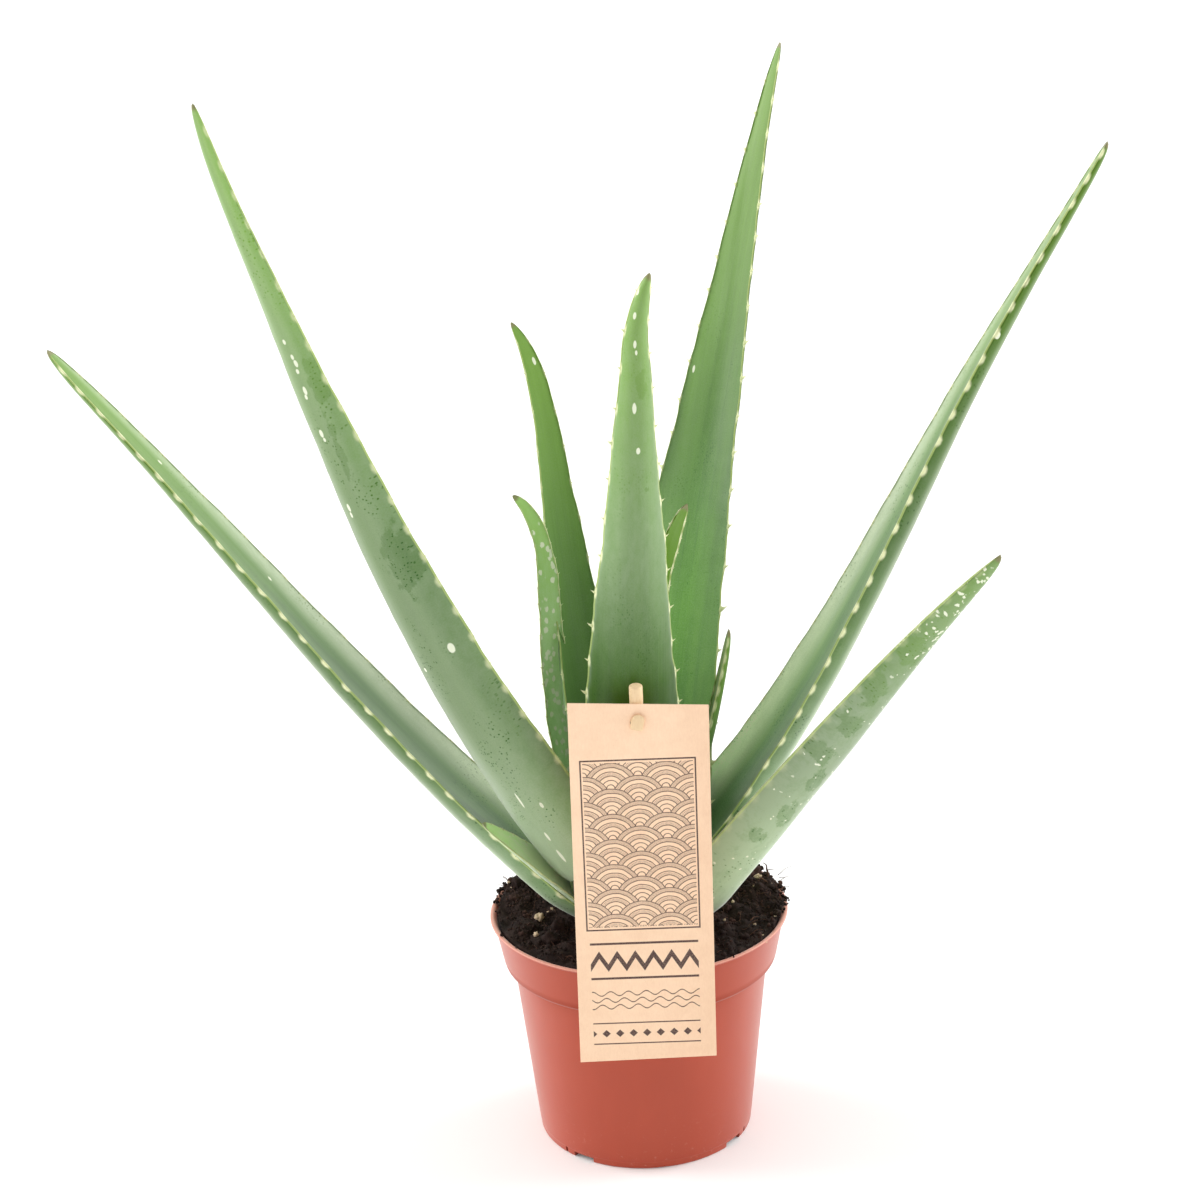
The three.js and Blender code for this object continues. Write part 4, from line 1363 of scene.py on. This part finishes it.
class LeafSkin:
    """Green skin with lengthwise streaks, wax bloom, flecks and a pale margin, painted lighter or
    darker as light and shade, and with painted glare.
    """

    def __init__(self, name, leaf, settings):
        self.leaf = leaf
        self.settings = settings
        self.recipe = recipe = Recipe.material(name)
        self.along, self.across, self.reach, self.under = map(recipe.attribute, EXTRAS[:4])
        self.margin, self.mark, self.tooth = map(recipe.attribute, EXTRAS[4:])
        seed = sum(map(ord, name)) % 97
        self.skin = recipe.vector(self.across, self.along, self.under * 40 + seed)
        self.far = self.along / leaf.length
        self.young = self.far.smooth(0.45, 1.0)
        self.streaks = self.stretched(1.3, 0.02)
        self.bands = self.stretched(0.35, 0.008, 2)
        self.mottle = self.stretched(0.4, 0.16, 5, 0.6)
        self.dust = self.stretched(2.6, 1.6, 2)

    def stretched(self, across, along, detail=3, rough=0.5):
        """Noise with the given number of waves per millimetre across and along."""
        return self.recipe.noise(self.skin, (across, along, 1), detail, rough)

    def green(self):
        """The green itself, richest at the foot and beside the margins."""
        leaf = self.leaf
        low = self.along.smooth(120, 20)
        broad = self.stretched(0.05, 0.018)
        tone = leaf.deep + 0.7 * (broad - 0.5) + 0.3 * (self.streaks - 0.5)
        tone = tone + 0.45 * (self.bands - 0.5) + 0.4 * low + 0.45 * self.rich
        tone = tone - 0.35 * self.young + 0.5 * self.worn
        colour = self.recipe.mix(tone.clamped(), self.settings.fresh, self.settings.deep)
        return self.recipe.mix(self.young * 0.5, colour, self.settings.tip)

    def lightness(self):
        """Painted light and shade: how much lighter or darker each part of the leaf is painted
        than the usual leaf.
        """
        foot, middle, tip = self.leaf.light
        left, right = self.leaf.sides
        light = foot + (middle - foot) * self.along.smooth(*self.leaf.rise)
        light = light + (tip - middle) * self.far.smooth(0.45, 0.95)
        # Painted light and shade beside the left and the right margin.
        aside = (left - 1) * self.reach.smooth(0, -1) + (right - 1) * self.reach.smooth(0, 1)
        # A painted shade strip on the underside just below each margin.
        painted_shade_strip = self.under * abs(self.reach).smooth(0.6, 0.92)
        painted_underside_light = 1 + (self.leaf.painted_underside_light - 1) * self.under
        return light * painted_underside_light * (1 + aside - 0.08 * painted_shade_strip)

    def thick_wax_and_glare(self):
        """Thick pale wax on the parts of the upper face towards its margins, and along the
        underside's keel, where nothing has rubbed it off; it is also a painted highlight, the pale
        glare there.
        """
        left, right = self.leaf.pale
        cover = left * self.reach.smooth(-0.1, -0.95) + right * self.reach.smooth(0.1, 0.95)
        keel = self.under * abs(self.reach).smooth(0.85, 0.5)
        cover = cover * (1 - self.under) + 0.6 * keel * max(left, right)
        cover = cover * (1.3 - 0.8 * self.mottle + 0.5 * (self.dust - 0.5))
        return (cover * (1 - 0.8 * self.worn) * (1 - 0.5 * self.young)).clamped()

    def rubbed(self):
        """Where the wax has come off, in sharp-edged patches and as dark specks."""
        leaf = self.leaf
        patches = self.stretched(0.13, 0.06, 4, 0.6).smooth(0.53, 0.57) * leaf.rubbed
        placed = ovals(self.along, self.across, 4 * (self.mottle - 0.5), leaf.rubs)
        distance, chance = self.recipe.cells(self.skin, (1.25, 0.9, 1))
        cloud = self.stretched(0.08, 0.03, 2).smooth(0.48, 0.64).either(placed)
        chosen = (chance + 0.25 * placed).smooth(0.5, 0.75)
        specks = distance.smooth(0.46, 0.2) * chosen * cloud * leaf.specked
        return patches.either(placed * 0.4).either(specks).clamped()

    def flecks(self):
        """Pale spots: some spread by chance, some placed one by one."""
        leaf = self.leaf
        inside = ovals(self.along, self.across, 1.1 * (self.mottle - 0.5), leaf.spots)
        warp = self.recipe.scaled(self.recipe.vector(self.mottle, self.streaks, 0), (3, 2, 0))
        bent = self.recipe.field("VectorMath", {"operation": "ADD"}, {0: self.skin, 1: warp})
        for amount, start, stop, size in leaf.flecks:
            distance, chance = self.recipe.cells(bent, (0.34 / size, 0.2 / size, 1))
            where = self.far.smooth(start, start + 0.1) * self.far.smooth(stop + 0.03, stop - 0.03)
            chosen = (amount * where - chance).smooth(0.0, 0.03)
            inside = inside.either(distance.smooth(0.4, 0.27) * chosen)
        return inside

    def richest(self):
        """How rich the green is beside the margins of the upper face."""
        left, right = self.leaf.rim
        beside = left * self.reach.smooth(0.75, -0.25) + right * self.reach.smooth(-0.75, 0.25)
        return (beside * (0.6 + 0.8 * self.mottle)).clamped() * (1 - 0.75 * self.under)

    def thin_wax(self):
        """The wax bloom: none where it is rubbed off, little on rich and young green."""
        # A little more bloom on the whole underside, partly real wax and partly painted glare.
        cover = self.leaf.bloom * self.along.smooth(*self.leaf.bare) + 0.12 * self.under
        cover = cover * (0.5 + self.mottle) * (1 - self.worn)
        cover = cover * (1 - 0.75 * self.rich) * (1 - 0.6 * self.young)
        return (cover + 0.3 * (self.dust - 0.5)).clamped()

    def face_colour(self, waxed):
        """Green under its wax, painted lighter or darker as light and shade, with pale flecks."""
        recipe, settings = self.recipe, self.settings
        colour = recipe.mix(waxed, self.green(), settings.bloom)
        # Thick wax, which is also a painted highlight: the pale glare beside some margins.
        colour = recipe.mix(self.thick_wax_and_glare(), colour, settings.thick_bloom_and_glare)
        light = self.lightness()
        colour = recipe.scaled(colour, recipe.vector(light, light, light))
        # More saturated where the green is painted darker.
        vivid = 1 + 0.6 * (1.1 - light).clamped()
        colour = recipe.field("HueSaturation", {}, {"Saturation": vivid, "Color": colour})
        return recipe.mix(self.flecks() * 0.8, colour, settings.fleck)

    def with_edges(self, colour):
        """The colour with the horny margin, its spots, the teeth and the dry tip added."""
        recipe, settings = self.recipe, self.settings
        uneven = self.mottle - 0.5
        line = self.margin.smooth(0.3, 0.9) * (0.45 + 0.4 * self.mottle)
        colour = recipe.mix(line.clamped(), colour, settings.margin)
        spot = (self.mark + 0.3 * uneven).smooth(0.35, 0.9) * self.leaf.marks
        colour = recipe.mix(spot.clamped(), colour, settings.tooth_tip)
        colour = recipe.mix(self.tooth.smooth(0.2, 0.8) * 0.9, colour, settings.tooth_tip)
        dry = (self.along + 3 * uneven - self.leaf.length).smooth(-3.5, -1.5)
        return recipe.mix(dry * 0.8, colour, settings.dry_tip)

    def material(self):
        self.rich = self.richest()
        self.worn = self.rubbed()
        waxed = self.thin_wax()
        relief = 0.45 * self.streaks + 0.3 * self.mottle + 0.15 * self.dust + 0.2 * self.bands
        return self.recipe.surface({
            "Base Color": self.with_edges(self.face_colour(waxed)),
            "Roughness": 0.33 + 0.22 * waxed + 0.1 * (self.dust - 0.5) + 0.06 * self.streaks,
            "Normal": self.recipe.bump(relief, 0.1),
            "Sheen Weight": self.leaf.sheen,
            "Sheen Roughness": 0.42,
            "Specular IOR Level": 0.24,
        })


class AloeLeaves(bpy.types.Operator):
    """Make every leaf with its margins and teeth"""

    bl_idname = "aloe.leaves"
    bl_label = "Leaves"

    def execute(self, context):
        settings = context.scene.aloe_leaves
        for name, leaf in LEAVES.items():
            row_step, tooth_height = settings.row_step / MM, settings.tooth_height / MM
            builder = LeafBuilder(name, leaf, row_step, tooth_height)
            skin = LeafSkin(name + "_skin", leaf, settings).material()
            new_piece(name + "_blade", builder.build(), skin, [name])
        return {"FINISHED"}


# -------------------------------------------------------------------- stem


class AloeStem(bpy.types.Operator):
    """Make the stub of a stem with its growing point"""

    bl_idname = "aloe.stem"
    bl_label = "Stem"

    def execute(self, context):
        shape = Shape()
        turned(shape, softened(STEM_PROFILE, STEM_ROUNDING, 6), 64)
        for point in shape.points[0]:
            point[:2] *= 1 + STEM_KNOBS * noise.noise(Vector(point) / 5)
        skin = self.skin(context.scene.aloe_leaves)
        new_piece("stem_stub", shape.mesh("stem_stub"), skin, ["stem"])
        return {"FINISHED"}

    @staticmethod
    def skin(settings):
        recipe = Recipe.material("stem_skin")
        place = recipe.place()
        cloud = recipe.noise(place, 0.3, 4, 0.6)
        rings = recipe.noise(place, (0.1, 0.1, 1.2), 2)
        colour = recipe.mix(cloud, settings.fresh, settings.pale_stem)
        colour = recipe.mix(rings.smooth(0.55, 0.7) * 0.5, colour, settings.scar)
        normal = recipe.bump(rings, 0.3)
        return recipe.surface({"Base Color": colour, "Roughness": 0.6, "Normal": normal})


# ------------------------------------------------------------------- label


def printed_card(settings):
    """Kraft card with a plain printed pattern of bands, arcs and lozenges, and painted shade
    towards its bottom and its right side.
    """
    recipe = Recipe.material("printed_card")
    place = recipe.place()
    x, y, z = recipe.parts(place)
    fibres = recipe.noise(place, (1.4, 1, 0.5), 4, 0.7)
    cloud = recipe.noise(place, 0.03, 2)
    mottle = recipe.noise(place, 0.22, 4, 0.6)
    shade = 0.25 + 0.9 * (cloud - 0.5) + 1.1 * (fibres - 0.5) + 0.8 * (mottle - 0.5)
    # Painted shade: the card is painted darker towards its bottom and towards its right side.
    shade = shade + z.smooth(200, 70) * 0.3 + x.smooth(5, 30) * 0.35
    darker = shaded(settings.card, (0.88, 0.82, 0.78))
    colour = recipe.mix(shade.clamped(), settings.card, darker)
    specks = recipe.noise(place, (2.2, 2, 2.2), 2).smooth(0.68, 0.74)
    colour = recipe.mix(specks * 0.3, colour, settings.speck)
    front = (y - CARD_BACK + CARD_THICKNESS).smooth(0.12, 0.05)
    worn = 0.95 + 0.5 * (recipe.noise(place, 3.0, 2) - 0.5)
    ink = (print_mask(recipe, x, z) * front * worn).clamped()
    colour = recipe.mix(ink, colour, settings.ink)
    normal = recipe.bump(fibres, 0.05)
    return recipe.surface({"Base Color": colour, "Roughness": 0.82, "Normal": normal})


def band(value, middle, half_width, soft=0.12):
    """1 where value lies within half_width of the middle."""
    return abs(value - middle).smooth(half_width + soft, half_width)


def wave(value, period):
    """A triangle wave from 0 to 1 with the given period."""
    return (value / period * 2 + 200).math("PINGPONG", 1.0)


def scales(x, z, radius):
    """Overlapping round scales, each with rings and a fan of short strokes."""
    step = radius / 2
    row = (z / step).math("FLOOR")
    up = z - row * step
    odd = row.math("MODULO", 2.0)
    even_aside = (x + 40 * radius).math("PINGPONG", radius)
    aside = even_aside + odd * (radius - 2 * even_aside)
    nearest = None
    for lift, beside in ((step - up, radius - aside), (up, aside), (up + step, radius - aside)):
        distance = (beside * beside + lift * lift).math("SQRT")
        scale = (distance, lift, beside)
        if nearest is None:
            nearest = scale
        else:
            inside = 1 - distance.math("GREATER_THAN", radius)
            nearest = [old + inside * (new - old) for old, new in zip(nearest, scale)]
    distance, lift, beside = nearest
    ring = distance * (6 / radius)
    lines = band(ring.math("FRACT"), 0.9, 0.07, 0.05)
    turn = lift.math("ARCTAN2", beside) * (180 / math.pi)
    outer = band(wave(turn, 5), 0.5, 0.13, 0.1) * band(ring, 5.38, 0.42, 0.05)
    middle = band(wave(turn, 9), 0.5, 0.12, 0.1) * band(ring, 3.3, 0.35, 0.05)
    return lines.either(outer * 0.9).either(middle * 0.85)


def field_print(recipe, x, z):
    """The upper part of the card's print: a field of scales with a line round it."""
    middle, half = FIELD
    side_gap, end_gap = BORDER_GAPS
    place = recipe.vector(x + PRINT_MIDDLE, 0, z)
    wobble = 0.5 * (recipe.noise(place, 0.3, 2) - 0.5)
    pattern = scales(x + wobble, z - SCALE_START + wobble, SCALE_RADIUS)
    pattern = pattern * band(z, middle, half) * band(x, 0, PRINT_HALF)
    ends = band(abs(z - middle), half + end_gap, BORDER_LINE)
    sides = band(abs(x), PRINT_HALF + side_gap, BORDER_LINE) * band(z, middle, half + end_gap)
    return pattern.either(ends.either(sides) * band(x, 0, PRINT_HALF + end_gap))


def border_print(x, z):
    """The lower part: a bold zigzag between two lines, waves, and a row of lozenges."""
    middle, thick, rise, period = ZIGZAG
    pattern = band(z - rise * wave(x, period), middle, thick)
    pattern = pattern.either(sum(band(z, height, half) for height, half in RULES))
    rise, turn, thick = WAVE_LINE
    waves = [
        band(z - rise * ((x + PRINT_MIDDLE) * turn + start).math("SINE"), height, thick)
        for height, start in WAVES
    ]
    pattern = pattern.either(sum(waves))
    middle, period, stretch, size = LOZENGES
    off = abs(z - middle)
    lozenges = (wave(x, period) * stretch + off).smooth(size, size - 0.2) * band(z, middle, 3)
    pattern = pattern.either(lozenges).either(band(off, *LOZENGE_LINES))
    return pattern * band(x, 0, PRINT_HALF)


def print_mask(recipe, x, z):
    """1 where the card is printed."""
    x = x - PRINT_MIDDLE
    return field_print(recipe, x, z).either(border_print(x, z)).clamped()


def stick_wood(settings):
    recipe = Recipe.material("stick_wood")
    place = recipe.place()
    grain = recipe.noise(place, (1.6, 1.6, 0.07), 4, 0.6)
    pores = recipe.noise(place, (5, 5, 0.35), 2).smooth(0.6, 0.75)
    darker = shaded(settings.wood, (0.86, 0.78, 0.68))
    colour = recipe.mix((0.4 + 1.4 * (grain - 0.5)).clamped(), settings.wood, darker)
    colour = recipe.mix(pores * 0.25, colour, settings.pores)
    normal = recipe.bump(grain * 0.7 - pores * 0.3, 0.08)
    return recipe.surface({"Base Color": colour, "Roughness": 0.66, "Normal": normal})


class AloeLabel(bpy.types.Operator):
    """Make the card and the stick that it hangs on"""

    bl_idname = "aloe.label"
    bl_label = "Label"

    def execute(self, context):
        settings = context.scene.aloe_label
        paper, wood = printed_card(settings), stick_wood(settings)
        card = new_piece("card_sheet", self.card_mesh(), paper, ["label_card"])
        soft_edge = card.modifiers.new("soft_edge", "BEVEL")
        soft_edge.width = CARD_EDGE * MM
        soft_edge.segments = 2
        soft_edge.limit_method = "ANGLE"
        new_piece("stick_dowel", self.stick_mesh(), wood, ["label_stick"])
        return {"FINISHED"}

    @staticmethod
    def card_mesh():
        sheet = bmesh.new()
        hole_x, hole_z, radius = CARD_HOLE
        front = CARD_BACK - CARD_THICKNESS
        angles = angles_round(40)
        hole = [(hole_x + radius * math.cos(a), hole_z + radius * math.sin(a)) for a in angles]
        edges = []
        for outline in (CARD_CORNERS, hole):
            corners = [sheet.verts.new((x * MM, front * MM, z * MM)) for x, z in outline]
            for first, second in zip(corners, corners[1:] + corners[:1]):
                edges.append(sheet.edges.new((first, second)))
        bmesh.ops.triangle_fill(sheet, use_beauty=True, edges=edges)
        grown = bmesh.ops.extrude_face_region(sheet, geom=sheet.faces[:])
        moved = [item for item in grown["geom"] if isinstance(item, bmesh.types.BMVert)]
        bmesh.ops.translate(sheet, verts=moved, vec=(0, CARD_THICKNESS * MM, 0))
        mesh = bpy.data.meshes.new("card_sheet")
        sheet.to_mesh(mesh)
        sheet.free()
        return mesh

    @staticmethod
    def stick_mesh():
        shape = Shape()
        tilt = math.radians(STICK_TILT)
        rest_y = CARD_BACK + STICK_GAP + STICK_RADIUS / math.cos(tilt)
        low, high = STICK_ENDS
        knob, knob_turn = STICK_KNOBS
        bow, bow_turn = STICK_BOW
        rings = [(low, STICK_FOOT)]
        for z in (low + 0.4, *np.linspace(low + 2, high - 0.8, 60)):
            rings.append((z, STICK_RADIUS + knob * math.sin(z * knob_turn)))
        rings += [(high - down, STICK_RADIUS - slimmer) for down, slimmer in STICK_TOP]
        line = []
        for z, _ in rings:
            y = rest_y - (z - STICK_REST) * math.tan(tilt)
            line.append((STICK_X + bow * math.sin(z * bow_turn), y, z))
        tube(shape, line, [radius for _, radius in rings], 40)
        AloeLabel.add_peg(shape)
        AloeLabel.add_neck(shape)
        return shape.mesh("stick_dowel")

    @staticmethod
    def add_peg(shape):
        """The hook's front: a short rounded peg that lies on the card."""
        width, depth, height = PEG_SIZE
        middle_x, middle_z = PEG_MIDDLE
        tilt = math.radians(PEG_TILT)
        front = CARD_BACK - CARD_THICKNESS - PEG_GAP
        rings, sides = 16, 32
        angles = angles_round(sides)
        round_x = np.sign(np.cos(angles)) * np.abs(np.cos(angles)) ** PEG_SQUARE
        round_y = np.sign(np.sin(angles)) * np.abs(np.sin(angles)) ** PEG_SQUARE
        points = []
        for step in np.linspace(0, 1, rings):
            dome = max(0.0, (step - PEG_DOME) / (1 - PEG_DOME)) ** 2.2
            dome = math.sqrt(max(0.0, 1 - dome))
            root = 0.9 + 0.1 * min(1, step * 12)
            across = round_x * width / 2 * max(dome, 0.12) * root
            lift = height * (step - 0.5)
            x = middle_x + across * math.cos(tilt) + lift * math.sin(tilt)
            z = middle_z - across * math.sin(tilt) + lift * math.cos(tilt)
            y = front - depth / 2 + round_y * depth / 2 * max(dome, 0.3) * root
            points.append(np.stack([x, y, z], 1))
        shape.add(np.concatenate(points), flat_ended(rings, sides))

    @staticmethod
    def add_neck(shape):
        """The wood that goes from the peg through the card's hole into the stick."""
        hole_x, hole_z, _ = CARD_HOLE
        front = CARD_BACK - CARD_THICKNESS - PEG_GAP
        places = [CARD_BACK + 2.2, *np.linspace(front + 0.4, front - 1.2, 4)]
        line = [(hole_x, y, hole_z + NECK_LIFT) for y in places]
        tube(shape, line, [NECK_RADIUS] * len(line), 16)


# ------------------------------------------------------------------- panel


class AloePanel(bpy.types.Panel):
    """Buttons and settings in the sidebar of the 3D view"""

    bl_idname = "VIEW3D_PT_aloe"
    bl_label = "Potted aloe"
    bl_space_type = "VIEW_3D"
    bl_region_type = "UI"
    bl_category = "Aloe"

    def draw(self, context):
        for operator, group in PANEL_ROWS:
            box = self.layout.box()
            box.operator(operator.bl_idname)
            settings = getattr(context.scene, group)
            for key in type(settings).__annotations__:
                box.prop(settings, key)


SETTINGS = {
    "aloe_stage": AloeStageSettings,
    "aloe_pot": AloePotSettings,
    "aloe_soil": AloeSoilSettings,
    "aloe_leaves": AloeLeafSettings,
    "aloe_label": AloeLabelSettings,
}
PANEL_ROWS = (
    (AloeStage, "aloe_stage"),
    (AloePot, "aloe_pot"),
    (AloeSoil, "aloe_soil"),
    (AloeStem, "aloe_leaves"),
    (AloeLeaves, "aloe_leaves"),
    (AloeLabel, "aloe_label"),
)
CLASSES = (*SETTINGS.values(), *(operator for operator, _ in PANEL_ROWS), AloePanel)


def register():
    for cls in CLASSES:
        bpy.utils.register_class(cls)
    for name, group in SETTINGS.items():
        setattr(bpy.types.Scene, name, PointerProperty(type=group))


def unregister():
    for name in SETTINGS:
        delattr(bpy.types.Scene, name)
    for cls in reversed(CLASSES):
        bpy.utils.unregister_class(cls)


def main():
    register()
    bpy.ops.aloe.stage()
    bpy.ops.aloe.pot()
    bpy.ops.aloe.soil()
    bpy.ops.aloe.stem()
    bpy.ops.aloe.leaves()
    bpy.ops.aloe.label()


if __name__ == "__main__":
    main()
